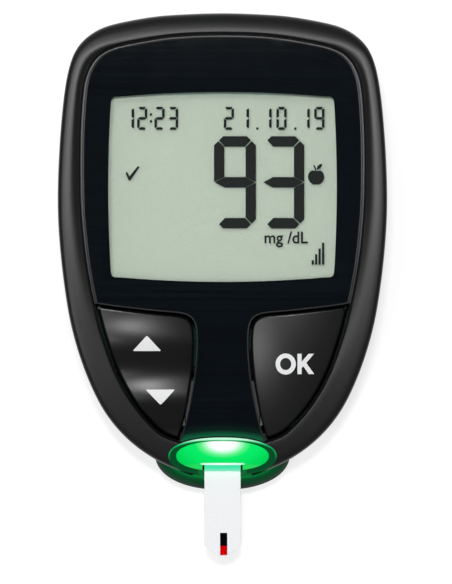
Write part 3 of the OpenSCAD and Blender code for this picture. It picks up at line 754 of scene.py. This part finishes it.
# opening of the port, slot of the strip, room of the light guide's shelf, screw and pin bores, stem's bore
cut(frontCase, prism(portRing, 7, 30), block((-port["notch"], -60, port["floor"]), (port["notch"], -36, 60)))
cut(frontCase, block((-port["guideHalf"] - 0.2, -33.2, 7), (port["guideHalf"] + 0.2, -29.9, 11.7)))
for x, y in screws["places"]:
    cut(frontCase, drum(x, y, screws["shank"], 7.9, 13, around=24))
cut(frontCase, drum(rocker["y"], rocker["z"], 0.75, -21.4, -1.6, along="X", around=24))
cut(frontCase, drum(*domes["ok"], domes["stem"] + 0.05, 9, 13.5, around=32))
dress(tidyMesh(frontCase), casePlastic, "case", "case", "front_case")
# floors of the key wells
repaint(frontCase, (wellBlack, lambda at, side: abs(at.x) < 21 and -33 < at.y < -9 and at.z < lensTop(at.y) - 1.9))

back = {
    "profile": [(3.1, 0), (2.5, 0.3), (1.8, 1), (1.1, 2.1), (0.5, 3.8), (0.15, 6), (0.06, 8)],
    "floor": 1.6, "plateZ": 1.75, "bayTop": 6.3,
    "bay": (21.9, 10.9, 33.1),                              # half width, low and high end
    "bayPost": 1.4, "boardPost": 1.5, "neckPost": 2.4,      # radii
}
door = {"half": 21, "lowY": 8, "endY": 41, "tongue": 1.0, "tongueZ": 0.85, "gap": 0.15,
        "grips": 5, "gripHalf": 7, "gripY": 26, "gripPitch": 1.8, "gripWide": 0.9}
chin = {"a": 11.4, "b": 6.2, "y": -34, "power": 2.2,
        "rounds": [(1.7, 2.3), (0.6, 3.2), (0, 4.6), (0.15, 5.8), (0.7, 7), (1.4, 7.7), (2.2, 8)]}
cells = {"x": 10.45, "y": 22, "radius": 10, "top": 5.3}


def backSkin(name):
    return loft(name, [flatRing(inset(caseRing, d), z) for d, z in reversed(smoothLine(back["profile"], 4))])


def chinBody():
    ring = superellipse(chin["a"], chin["b"], chin["b"], chin["y"], chin["power"], 200)
    rings = [flatRing(inset(ring, d), z) for d, z in smoothLine(chin["rounds"], 4)]
    return overlap(loft("tool", rings), block((-60, -60, 0), (60, -33.9, 8)))


rearCase = backSkin("rearCase")
cut(rearCase, prism(hollowRing, 3.4, 9))
innerRing = inset(caseRing, 3.4)
cut(rearCase, overlap(prism(innerRing, back["floor"], 4), block((-60, -60, 0), (60, door["lowY"] - 1.8, 5))),
    overlap(prism(innerRing, back["plateZ"] + 1, 4), block((-60, door["lowY"] - 1.9, 0), (60, 60, 5))))
bayHalf, bayLow, bayHigh = back["bay"]
fuse(rearCase, block((-bayHalf, bayLow, back["plateZ"]), (bayHalf, bayHigh, back["bayTop"])))
for x in (-18, 0, 18):
    for y in (14, 29):
        fuse(rearCase, drum(x, y, back["bayPost"], back["bayTop"] - 0.01, board["low"]))
for x, y in screws["places"][:2]:
    fuse(rearCase, drum(x, y, screws["boss"], back["plateZ"], face["partZ"]))
fuse(rearCase, drum(*screws["places"][2], back["neckPost"], back["floor"] - 0.01, board["low"]))
for x, y in ((-20, -2), (20, -2), (-10, -26), (10, -26)):
    fuse(rearCase, drum(x, y, back["boardPost"], back["floor"] - 0.01, board["low"]))
gap = door["gap"]
cut(rearCase,
    block((-door["half"] - gap, door["lowY"] - gap, -1), (door["half"] + gap, door["endY"], back["plateZ"])),
    block((-door["half"] - door["tongue"] - gap, door["lowY"] - gap, door["tongueZ"] - 0.1),
          (door["half"] + door["tongue"] + gap, door["endY"], back["plateZ"])))
for x in (-cells["x"], cells["x"]):
    cut(rearCase, drum(x, cells["y"], cells["radius"] + 0.3, back["plateZ"] - 0.01, cells["top"], around=96))
# passage between the cells, then the slots of their contacts
cut(rearCase, block((-cells["x"], 16, back["plateZ"] - 0.01), (cells["x"], 28, cells["top"])))
for x in (-cells["x"], cells["x"]):
    cut(rearCase, block((x - 4, 20.5, 5), (x + 4, 23.5, 7.3)), block((x - 3, 31.9, 2.15), (x + 3, 32.6, 7.3)))
for x, y in screws["places"]:
    cut(rearCase, drum(x, y, screws["head"] + 0.2, -1, 3), drum(x, y, screws["shank"] + 0.15, 0, 9, around=24))
cut(rearCase, block((-12, -7, -1), (12, 4, 0.2)), chinBody())     # bed of the label, and the chin's room
dress(tidyMesh(rearCase), casePlastic, "case", "case", "rear_case")

batteryDoor = overlap(backSkin("batteryDoor"),
                      block((-door["half"], door["lowY"], -0.01), (door["half"], door["endY"], back["floor"])))
tongues = overlap(prism(inset(caseRing, 2.4), 0, 3),
                  block((-door["half"] - door["tongue"], door["lowY"], door["tongueZ"]),
                        (door["half"] + door["tongue"], 31, back["floor"])))
fuse(batteryDoor, tongues)
for i in range(door["grips"]):
    y = door["gripY"] + door["gripPitch"] * i
    grip = block((-door["gripHalf"], y, -1), (door["gripHalf"], y + door["gripWide"], 0.4))
    softEdges(grip, 0.42, 5, lambda middle: abs(abs(middle.x) - door["gripHalf"]) < 0.01 and -0.9 < middle.z < 0.39)
    cut(batteryDoor, grip)
dress(tidyMesh(batteryDoor), casePlastic, "door", "case", "battery_door")

lens = {"gap": 0.3, "bevel": 0.12, "window": (38.4, 31.9, 10.85), "bulge": (0.5, 0.9)}


def lensOutline(distance):
    edge = inset(faceLine, distance)
    half = edge[:len(edge) // 2 + 1]
    i, j, high = crossing(half, neckLine)
    arc = portRing[:len(portRing) // 4 + 2]
    k, m, low = crossing(neckLine, arc)
    right = [(0, half[0][1])] + half[1:i + 1] + [high] + neckLine[j + 1:k + 1] + [low]
    right += list(reversed(arc[1:m + 1])) + [(0, arc[0][1])]
    return wholeOutline(right)


def windowOutline():
    width, height, middleY = lens["window"]
    w, h = width / 2, height / 2
    side = [(w - lens["bulge"][0] * t * t, h * 0.965 * t) for t in (-1, -0.75, -0.5, -0.25, 0, 0.25, 0.5, 0.75, 1)]
    top = [(w * 0.975 * t, h - lens["bulge"][1] * t * t) for t in (0.97, 0.75, 0.5, 0.25, 0, -0.25, -0.5, -0.75, -0.97)]
    half = side + top
    ring = [(x, middleY + y) for x, y in half + [(-x, -y) for x, y in half]]
    return relaxed(spaced(ring, 360), 8)


coverLens = plate("coverLens", [lensOutline(lens["gap"])], 0, face["lensThickness"])
softEdges(coverLens, lens["bevel"], 2, lambda middle: middle.z > face["lensThickness"] - 0.01, 20)
drape(coverLens, lambda x, y: lensTop(y) - face["lensThickness"], 1.0, angle=12)
dress(coverLens, lensClear, "case", "lens", "cover_lens")
repaint(coverLens, (lensEdge, lambda at, side: abs(side.normal.z) < 0.95))

lensMask = plate("lensMask", [inset(spaced(lensOutline(lens["gap"]), 700), 0.25)], 0, face["maskThickness"])
cut(lensMask, prism(list(reversed(windowOutline())), -1, 1))
drape(lensMask, lambda x, y: maskUnder(y), 1.0)
dress(lensMask, maskInk, "case", "mask", "lens_mask")

keys = {
    "gap": 0.42, "depth": 2.1, "edge": 0.4, "crown": 0.21, "pitch": 10.2, "grid": 0.45,
    "arrowFall": 0.0095, "okFall": 0.011, "okX": 11.5,      # mm per square mm beside the highest line
    "crownFade": (0.08, -13), "ridge": (-16.5, 0.34, -13.2),  # along Y, and the rocker's highest line
    "okCrown": 0.28, "okTurn": 7.5, "okHighY": -20.5,       # turn in degrees a mm
    "blankZ": 18.0, "blankInset": 0.15,  # the flat lid that the keys have while they are cut and fused
}


def arrowTop(x, y):
    angle = math.radians(360 * (y - rocker["y"]) / keys["pitch"] - 180)
    fade, fadeY = keys["crownFade"]
    ridgeX, slant, ridgeY = keys["ridge"]
    wave = keys["crown"] * (1 - fade * (y - fadeY)) * math.cos(angle)
    highX = ridgeX - slant * (y - ridgeY)
    return lensTop(y) - 0.35 + wave - keys["arrowFall"] * (x - highX) ** 2


def okTop(x, y):
    crown = keys["okCrown"] * math.cos(math.radians(keys["okTurn"] * (y - keys["okHighY"])))
    return lensTop(y) - 0.30 + crown - keys["okFall"] * (x - keys["okX"]) ** 2


def keyCap(name, ring, top, depth):
    # side and rolled edge, with a raised flat lid; the lid's second material is how shapeLid finds it
    r = keys["edge"]
    rings = [[(x, y, lensTop(y) - depth) for x, y in ring], [(x, y, top(x, y) - r) for x, y in ring]]
    for k in range(1, 7):
        a = k / 6 * math.pi / 2
        moved = inset(ring, r * (1 - math.cos(a)))
        rings.append([(x, y, top(x, y) - r + r * math.sin(a)) for x, y in moved])
    rings.append(flatRing(inset(ring, r + keys["blankInset"]), keys["blankZ"]))
    cap = loft(name, rings)
    cap.data.materials.append(keyPlastic)
    cap.data.materials.append(legendWhite)
    for side in cap.data.polygons:
        highest = max(cap.data.vertices[i].co.z for i in side.vertices)
        side.material_index = int(highest > (keys["blankZ"] - 0.1) * mm)
    return cap


def shapeLid(piece, top):
    # cuts the lid into a grid and lifts its points to top(x, y)
    choose(piece)
    mode("EDIT")
    bpy.ops.mesh.select_mode(type="FACE")

    def chooseLid():
        bpy.ops.mesh.select_all(action="DESELECT")
        form = bmesh.from_edit_mesh(piece.data)
        lid = [side for side in form.faces if side.material_index == 1]
        for side in lid:
            side.select_set(True)
        bmesh.update_edit_mesh(piece.data)
        return [vert.co.copy() for side in lid for vert in side.verts]

    corners = chooseLid()
    bpy.ops.mesh.dissolve_faces()
    for axis in (0, 1):
        normal = [1 - axis, axis, 0]
        place = min(c[axis] for c in corners) + keys["grid"] * mm / 2
        while place < max(c[axis] for c in corners):
            chooseLid()
            bpy.ops.mesh.bisect(plane_co=[n * place for n in normal], plane_no=normal)
            place += keys["grid"] * mm
    form = bmesh.from_edit_mesh(piece.data)
    for vert in form.verts:
        if all(side.material_index == 1 for side in vert.link_faces):
            vert.co.z = top(vert.co.x / mm, vert.co.y / mm) * mm
    for side in form.faces:
        side.material_index = 0
    bmesh.update_edit_mesh(piece.data)
    bpy.ops.mesh.select_mode(type="VERT")
    mode("OBJECT")
    return tidyMesh(piece)


okRing = relaxed(spaced(keyRegion(faceRing, keys["gap"]), 220), 7)
arrowRing = mirrored(okRing)
arrowKey = keyCap("arrowKey", arrowRing, arrowTop, keys["depth"] + 0.2)
fuse(arrowKey, drum(rocker["y"], rocker["z"], rocker["pinRadius"], rocker["earLeft"] - 0.6,
                    rocker["earRight"] + 0.6, along="X", around=32),
     block((-17, rocker["y"] - 0.7, rocker["z"]), (-6, rocker["y"] + 0.7, 13.9)))
rockDrop = (domes["up"][1] - domes["down"][1]) / 2 * math.sin(math.radians(rocker["degrees"]))
for x, y in (domes["up"], domes["down"]):
    fuse(arrowKey, drum(x, y, domes["post"], domes["clear"] + rockDrop, lensTop(y) - 1, around=32))
dress(shapeLid(arrowKey, arrowTop), keyPlastic, "rocker", "key", "arrow_key")
# pins in the gaps
repaint(arrowKey, (wellBlack, lambda at, side: at.z < rocker["z"] + 0.8 and abs(at.y - rocker["y"]) < 0.8))

okKey = keyCap("okKey", okRing, okTop, keys["depth"])
fuse(okKey, drum(*domes["ok"], domes["stem"], domes["okClear"], lensTop(domes["ok"][1]) - 1, around=40))
dress(shapeLid(okKey, okTop), keyPlastic, "ok_button", "key", "ok_key")

legends = {
    "up": [(-12.70, -14.1), (-10.28, -16.72), (-15.10, -16.72)],
    "down": [(-12.95, -23.2), (-7.98, -23.2), (-10.40, -25.82)],
    "letterO": (10.62, -18.9, 1.70, 1.77, 0.94, 1.02),       # middle, outer and inner half sizes
    "letterK": [(12.60, -17.18), (13.30, -17.18), (13.30, -18.52), (14.46, -17.18), (15.38, -17.18),
                (14.07, -18.72), (15.44, -20.60), (14.52, -20.60), (13.56, -19.27), (13.30, -19.58),
                (13.30, -20.60), (12.60, -20.60)],
    "thick": 0.03, "lift": 0.012,
}


def rounded(points, radius, steps=4):
    # a polygon with its corners rounded off
    spots = []
    for i, p in enumerate(points):
        before, after = Vector(points[i - 1]), Vector(points[(i + 1) % len(points)])
        here = Vector(p)
        a = here + (before - here).normalized() * radius
        b = here + (after - here).normalized() * radius
        for s in range(steps + 1):
            t = s / steps
            spots.append(tuple(a * (1 - t) ** 2 + here * 2 * t * (1 - t) + b * t * t))
    return spots


def printed(piece, top, body):
    drape(piece, lambda x, y: top(x, y) + legends["lift"], 0.31, 0.33)
    return dress(piece, legendWhite, body, "legend")


for way in ("up", "down"):
    printed(plate(way + "Arrow", [rounded(legends[way], 0.3)], 0, legends["thick"]), arrowTop, "rocker")
middleX, middleY, outerX, outerY, innerX, innerY = legends["letterO"]


def oval(a, b, count=64):
    return [(middleX + a * math.sin(2 * math.pi * i / count), middleY + b * math.cos(2 * math.pi * i / count))
            for i in range(count)]


letterO = plate("letterO", [oval(outerX, outerY)], 0, legends["thick"])
cut(letterO, prism(oval(innerX, innerY), -1, 1))
printed(letterO, okTop, "ok_button")
printed(plate("letterK", [legends["letterK"]], 0, legends["thick"]), okTop, "ok_button")

display = {
    "low": 14.70, "high": 14.74,     # on the front glass
    "digitHeight": 15.48, "digitWidth": 7.05, "stroke": 1.74, "lowY": 3.91,
    "smallHeight": 3.86, "smallWidth": 1.72, "smallStroke": 0.44, "smallLowY": 20.47,
}
segmentsOf = {"0": "abcdef", "1": "bc", "2": "abged", "3": "abgcd", "9": "abcdfg"}


def digitSegments(sign, left, low, width, height, stroke, gap):
    # seven-segment shapes with cut corners
    c, s, h, w, g = stroke * 0.85, stroke, height, width, gap
    half, mid = h / 2, s / 2
    corner = [(c + g * 0.4, h), (w - c - g * 0.4, h), (w - c / 2 - g, h - c / 2 + g * 0.6), (w - s - g, h - s),
              (s + g, h - s), (c / 2 + g, h - c / 2 + g * 0.6)]
    upper = [(0, half + g * 0.7), (0, h - c - g * 0.4), (c / 2 - g * 0.4, h - c / 2 - g * 0.9), (s, h - s - g),
             (s, half + mid + g * 0.8)]
    middle = [(g * 1.6, half), (s + g * 0.4, half + mid), (w - s - g * 0.4, half + mid), (w - g * 1.6, half),
              (w - s - g * 0.4, half - mid), (s + g * 0.4, half - mid)]

    def flipX(points):
        return [(w - x, y) for x, y in reversed(points)]

    def flipY(points):
        return [(x, h - y) for x, y in reversed(points)]

    shapes = {"a": corner, "d": flipY(corner), "f": upper, "b": flipX(upper), "e": flipY(upper),
              "c": flipY(flipX(upper)), "g": middle}
    return [[(left + x, low + y) for x, y in shapes[k]] for k in segmentsOf[sign]]


def signRow(name, signs, dots, low, width, height, stroke, gap):
    outlines = []
    for sign, left in signs:
        outlines += digitSegments(sign, left, low, width, height, stroke, gap)
    for x, y, size in dots:
        outlines.append([(x, y + size), (x + size, y + size), (x + size, y), (x, y)])
    row = plate(name, outlines, display["low"], display["high"])
    return dress(row, lcdInk, "case", "lcd_ink")


signRow("lcdReading", [("9", -1.43), ("3", 6.70)], [], display["lowY"], display["digitWidth"],
        display["digitHeight"], display["stroke"], 0.09)
small = (display["smallLowY"], display["smallWidth"], display["smallHeight"], display["smallStroke"], 0.07)
signRow("lcdTime", [("1", -16.58), ("2", -14.36), ("2", -11.45), ("3", -9.17)],
        [(-12.22, 22.86, 0.38), (-12.22, 21.70, 0.38)], *small)
signRow("lcdDate", [("2", 0.21), ("1", 2.75), ("1", 6.54), ("0", 9.06), ("1", 12.95), ("9", 15.42)],
        [(5.68, 20.49, 0.38), (12.06, 20.49, 0.38)], *small)

tick = [(-16.32, 13.27), (-16.02, 13.37), (-15.62, 12.66), (-14.29, 14.33), (-13.90, 14.27), (-15.50, 11.99),
        (-15.76, 11.99)]
fruit = {"x": 15.74, "y": 12.52, "wide": 1.36, "tall": 1.33}


def fruitOutline():
    spots = []
    for i in range(40):
        t = 2 * math.pi * i / 40
        fromTop = t - 2 * math.pi * (t > math.pi)
        dip = 1 - 0.22 * math.exp(-(fromTop / 0.42) ** 2) - 0.10 * math.exp(-((t - math.pi) / 0.3) ** 2)
        spots.append((fruit["x"] + fruit["wide"] * math.sin(t) * (1 + 0.06 * math.cos(t)),
                      fruit["y"] + fruit["tall"] * math.cos(t) * dip))
    return spots


leaf = [(15.80, 13.75), (15.95, 14.35), (16.42, 14.72), (16.78, 14.70), (16.62, 14.22), (16.20, 13.86)]
stem = [(15.55, 13.6), (15.45, 14.05), (15.25, 14.45), (15.45, 14.55), (15.70, 14.10), (15.78, 13.6)]
bars = [[(14.98 + 0.58 * i, -2.2), (14.98 + 0.58 * i, -1.45 + 0.98 * i), (15.36 + 0.58 * i, -1.45 + 0.98 * i),
         (15.36 + 0.58 * i, -2.2)] for i in range(4)]
signs = plate("lcdSigns", [tick, fruitOutline(), leaf, stem] + bars, display["low"], display["high"])
dress(signs, lcdInk, "case", "lcd_ink")


def words(name, body, left, right, low, high, z, thick):
    # text made a mesh and fitted into a box
    bpy.ops.object.text_add()
    text = bpy.context.object
    text.data.body = body
    text.data.extrude = 0.05
    text.data.offset = 0.012
    bpy.ops.object.convert(target="MESH")
    piece = named(name)
    starts, ends = [[way(v.co[k] for v in piece.data.vertices) for k in range(3)] for way in (min, max)]
    for vert in piece.data.vertices:
        vert.co = Vector([to + (c - start) / (end - start) * (far - to) for c, start, end, to, far in
                          zip(vert.co, starts, ends, (left, low, z), (right, high, z + thick))]) * mm
    return tidyMesh(piece, merge=0.001)


dress(words("lcdUnit", "mg /dL", 7.06, 14.35, 0.73, 3.38, display["low"], display["high"] - display["low"]),
      lcdInk, "case", "lcd_ink")


def between(ringA, ringB, share):
    return [(a[0] + (b[0] - a[0]) * share, a[1] + (b[1] - a[1]) * share) for a, b in zip(ringA, ringB)]


# the ring's rounds: share of the way from the port's line to the dish's, and drop below the lens
ringRounds = [(0.04, 0.08), (0.12, 0.01), (0.25, 0.0), (0.4, 0.06), (0.6, 0.25), (0.8, 0.5), (0.94, 0.72), (1.0, 0.9)]


def portWall():
    rings = [flatRing(portRing, 7.99), flatRing(portRing, lambda y: lensTop(y) - 0.22)]
    for share, drop in ringRounds:
        rings.append(flatRing(between(portRing, dishRing, share), lambda y, drop=drop: lensTop(y) - drop))
    rings.append(flatRing(dishRing, port["floor"]))
    rings.append(flatRing(shrunk(dishRing, 0.5, (0, face["portY"])), port["floor"]))
    return loft("portHousing", rings)


portHousing = overlap(portWall(), prism(inset(caseRing, 0.01), 7, 30))
fuse(portHousing, chinBody())
cut(portHousing, block((-port["notch"], -60, port["floor"]), (port["notch"], -36, 60)),
    block((-port["guideHalf"] - 0.1, -33, 8.4), (port["guideHalf"] + 0.1, -30, 11.6)),
    block((-7, -36.4, 3.6), (7, -33, 7)))
dress(tidyMesh(portHousing), smokedPort, "case", "port_smoke", "port_housing")


def superRadius(x, y, a, b):
    # 1 on the superellipse's line, less inside
    power = face["portPower"]
    return (abs(x / a) ** power + abs((y - face["portY"]) / b) ** power) ** (1 / power)


smoke = {
    # shares of the brightest glow
    "slot": 0.5, "ring": 0.45, "line": 0.78, "lineMiddle": 0.30, "lineHalf": 8.2, "chin": 0.60, "least": 0.06,
    "chinFall": 0.235, "sideFall": 0.005, "sideStart": 5,   # a mm below the ring, and a square mm to the side
}


def smokeLight(x, y, z):
    # light seen through the smoked plastic, 0 to 1: a fine bright line round the upper edge, a dim ring,
    # and a chin that is brightest under the ring
    lowB = face["portB"] if y > face["portY"] else face["portLowB"]
    outside = superRadius(x, y, face["portA"], lowB)
    if z < lensTop(y) - 1.4 and outside < 1.02:
        return smoke["slot"] if y < -36.6 and abs(x) < 5 else 0.0     # floor and walls of the slot
    if outside <= 1.001:
        dish = superRadius(x, y, face["dishA"], face["dishB"])
        share = max(1 - outside, 0) / max(1 - outside + dish - 1, 0.001)
        up = (y - face["portY"]) / face["portB"]
        if up < -0.25:
            return smoke["ring"]
        middle = max(1 - abs(x) / smoke["lineHalf"], 0)
        width = 0.13 + 0.75 * middle ** 0.7
        line = math.exp(-(share / width) ** 4)
        peak = smoke["line"] + smoke["lineMiddle"] * min(middle * 1.5, 1)
        fade = min((up + 0.25) / 0.4, 1)
        return smoke["ring"] + (peak - smoke["ring"]) * line * fade
    below = (outside - 1) * face["portLowB"]
    aside = max(abs(x) - smoke["sideStart"], 0)
    return max(smoke["chin"] - smoke["chinFall"] * below - smoke["sideFall"] * aside ** 2, smoke["least"])


def paintLight(piece, light):
    bpy.context.view_layer.objects.active = piece
    glow = piece.data.attributes.new("glow", "FLOAT", "POINT")
    for i, vert in enumerate(piece.data.vertices):
        glow.data[i].value = light(*(vert.co / mm))


paintLight(portHousing, smokeLight)


def dishTop(y):
    slope = min(max((y - port["lipY"]) / (port["backY"] - port["lipY"]), 0.0), 1.0)
    return port["lipZ"] + (port["backZ"] - port["lipZ"]) * slope ** 1.3


strip = {"half": 3.05, "tip": -51.3, "tipLength": 2.0, "tipPower": 1.5, "inner": -23.6, "lid": -27, "z": 9.0,
         "base": 0.25, "spacer": 0.12, "cover": 0.18, "channel": (-0.4, 0.8, -47.4), "sample": (-51.15, -49.6)}

dishRings = [flatRing(dishRing, port["floor"])]
for share in (1.0, 0.97, 0.9, 0.8, 0.7, 0.6, 0.5, 0.4, 0.3, 0.2, 0.1, 0.03):
    dishRings.append(flatRing(shrunk(inset(dishRing, 0.01), share, (0, face["portY"])), dishTop))
lightGuide = loft("lightGuide", dishRings)
fuse(lightGuide, block((-port["guideHalf"], -33, port["floor"] - 0.3), (port["guideHalf"], -30.1, 11.5)))
cut(lightGuide, block((-3.4, -60, 8.85), (3.4, -29, 9.75)),
    block((-port["notch"], -60, 8.85), (port["notch"], port["lipY"], 60)))
lipBead = block((-3.4, port["lipY"] - 0.05, 9.8), (3.25, port["lipY"] + 0.28, port["lipZ"] + 0.12))
softEdges(lipBead, 0.05, 3, lambda middle: middle.z > port["lipZ"])
fuse(lightGuide, block((-strip["half"], port["lipY"] - port["lipReach"], 9.75),
                       (strip["half"], port["lipY"] + 0.1, port["lipZ"])), lipBead)
dress(tidyMesh(lightGuide), litGuide, "case", "lit_guide", "port_light_guide")


def onBead(at, side):
    return at.z > 9.9 and abs(at.x) < 3.5 and abs(at.y - port["lipY"] - 0.115) < 0.18


def onLip(at, side):
    # over the strip
    return at.y < port["lipY"] - 0.04 and abs(at.x) < 3.2 and at.z > 9.7


def onShelf(at, side):
    # under the deck, seen only through the gaps beside the keys; these faces get the wells' black as painted shade
    return max(lightGuide.data.vertices[i].co.y for i in side.vertices) > (port["backY"] + 0.05) * mm


repaint(lightGuide, (litLine, onBead), (litLip, onLip), (wellBlack, onShelf))


def stripOutline(innerY):
    # its end is a blunt curve
    r, long, power = strip["half"], strip["tipLength"], strip["tipPower"]
    nose = []
    for i in range(33):
        c, s = math.cos(math.pi * i / 32), abs(math.sin(math.pi * i / 32))
        nose.append((r * math.copysign(abs(c) ** (2 / power), c), strip["tip"] + long - long * s ** (2 / power)))
    return [(-r, innerY), (r, innerY)] + nose


def stripLayer(name, innerY, low, thick, withChannel):
    layer = plate(name, [stripOutline(innerY)], low, low + thick)
    if withChannel:
        left, right, end = strip["channel"]
        cut(layer, block((left, -60, low - 1), (right, end, low + thick + 1)))
    softEdges(layer, 0.03, 1, lambda middle: True, 60)
    return tidyMesh(layer)


spacerZ = strip["z"] + strip["base"]
coverZ = spacerZ + strip["spacer"]
for name, node, innerY, low, thick, withChannel in (
        ("stripBase", "strip_base", strip["inner"], strip["z"], strip["base"], False),
        ("stripSpacer", "strip_spacer", strip["lid"], spacerZ, strip["spacer"], True),
        ("stripCover", "strip_cover", strip["lid"], coverZ, strip["cover"], True)):
    dress(stripLayer(name, innerY, low, thick, withChannel), stripFilm, "test_strip", "strip_film", node)
left, right, _ = strip["channel"]
lowY, highY = strip["sample"]
sample = block((left + 0.01, lowY, spacerZ), (right - 0.01, highY, coverZ + 0.12), "bloodSample")
softEdges(sample, 0.1, 3, lambda middle: middle.z > coverZ)
dress(tidyMesh(sample), sampleRed, "test_strip", "sample")

keptFinishes = {
    "display_gasket": foamBlack, "lcd_front_glass": frontGlass, "lcd_rear_glass": paleFilm, "lcd_reflector": paleFilm,
    "lcd_frame": whitePlastic, "zebra_connector": zebraRubber, "main_board": boardGreen, "microcontroller": chipBlack,
    "radio_module": tinnedMetal, "chip_components": ceramicChip, "buzzer": chipBlack, "snap_domes": steel,
    "port_leds": portLight, "strip_connector": innerPlastic, "connector_contacts": contactGold,
    "coin_cell_left": cellCan, "coin_cell_right": cellCan, "battery_positive_contacts": steel,
    "battery_negative_contacts": contactGold, "case_screws": steel, "rear_label": labelFilm,
    "strip_electrodes": carbonTrace, "strip_reagent": reagentInk,
}
for nodeName, nodeFinish in keptFinishes.items():
    kept = nodes[nodeName]
    if not kept.material_slots:
        kept.data.materials.append(nodeFinish)
    for materialSlot in kept.material_slots:
        materialSlot.material = nodeFinish
print("kept nodes finished:", len(keptFinishes))


def raysOf(material, *kinds):
    # 1 on these kinds of ray, otherwise 0
    rays = addNode(material, "ShaderNodeLightPath")
    total = rays.outputs[kinds[0]]
    for kind in kinds[1:]:
        both = addNode(material, "ShaderNodeMath", operation="ADD", use_clamp=True)
        wire(total, both.inputs[0])
        wire(rays.outputs[kind], both.inputs[1])
        total = both.outputs[0]
    return total


def mixOn(material, share, first, second, target):
    mix = addNode(material, "ShaderNodeMixShader")
    for source, socket in zip((share, first, second), mix.inputs):
        wire(source, socket)
    wire(mix.outputs[0], target)


# a dark ceiling over a pale horizon; straight views past the floor see white
world = bpy.data.worlds.new("studio")
bpy.context.scene.world = world
world.use_nodes = True
sky = world.node_tree.nodes["Background"]
sky.inputs["Color"].default_value = (0.94, 0.96, 1.0, 1)
skyPlace = addNode(world, "ShaderNodeTexCoord")
skyHeight = addNode(world, "ShaderNodeSeparateXYZ")
wire(skyPlace.outputs["Generated"], skyHeight.inputs["Vector"])
rangeOn(world, skyHeight.outputs["Z"], 0.5, 0.10, sky.inputs["Strength"])
skyWhite = addNode(world, "ShaderNodeBackground", Color=(1, 1, 1, 1), Strength=1.0)
mixOn(world, raysOf(world, "Is Camera Ray", "Is Transmission Ray"), sky.outputs[0], skyWhite.outputs[0],
      world.node_tree.nodes["World Output"].inputs["Surface"])

bpy.ops.mesh.primitive_plane_add(size=6, location=(0, 0, -0.00005))
floor = named("floor")
floorWhite = finish("floorWhite", (0.34, 0.34, 0.34), 0.9)
floorShader = shaderOf(floorWhite)
floorGlow = addNode(floorWhite, "ShaderNodeEmission", Color=(1, 1, 1, 1), Strength=0.75)
floorSum = addNode(floorWhite, "ShaderNodeAddShader")
wire(floorShader.outputs[0], floorSum.inputs[0])
wire(floorGlow.outputs[0], floorSum.inputs[1])
mixOn(floorWhite, raysOf(floorWhite, "Is Camera Ray", "Is Glossy Ray", "Is Transmission Ray"),
      floorShader.outputs[0], floorSum.outputs[0], floorWhite.node_tree.nodes["Material Output"].inputs["Surface"])
floor.data.materials.append(floorWhite)
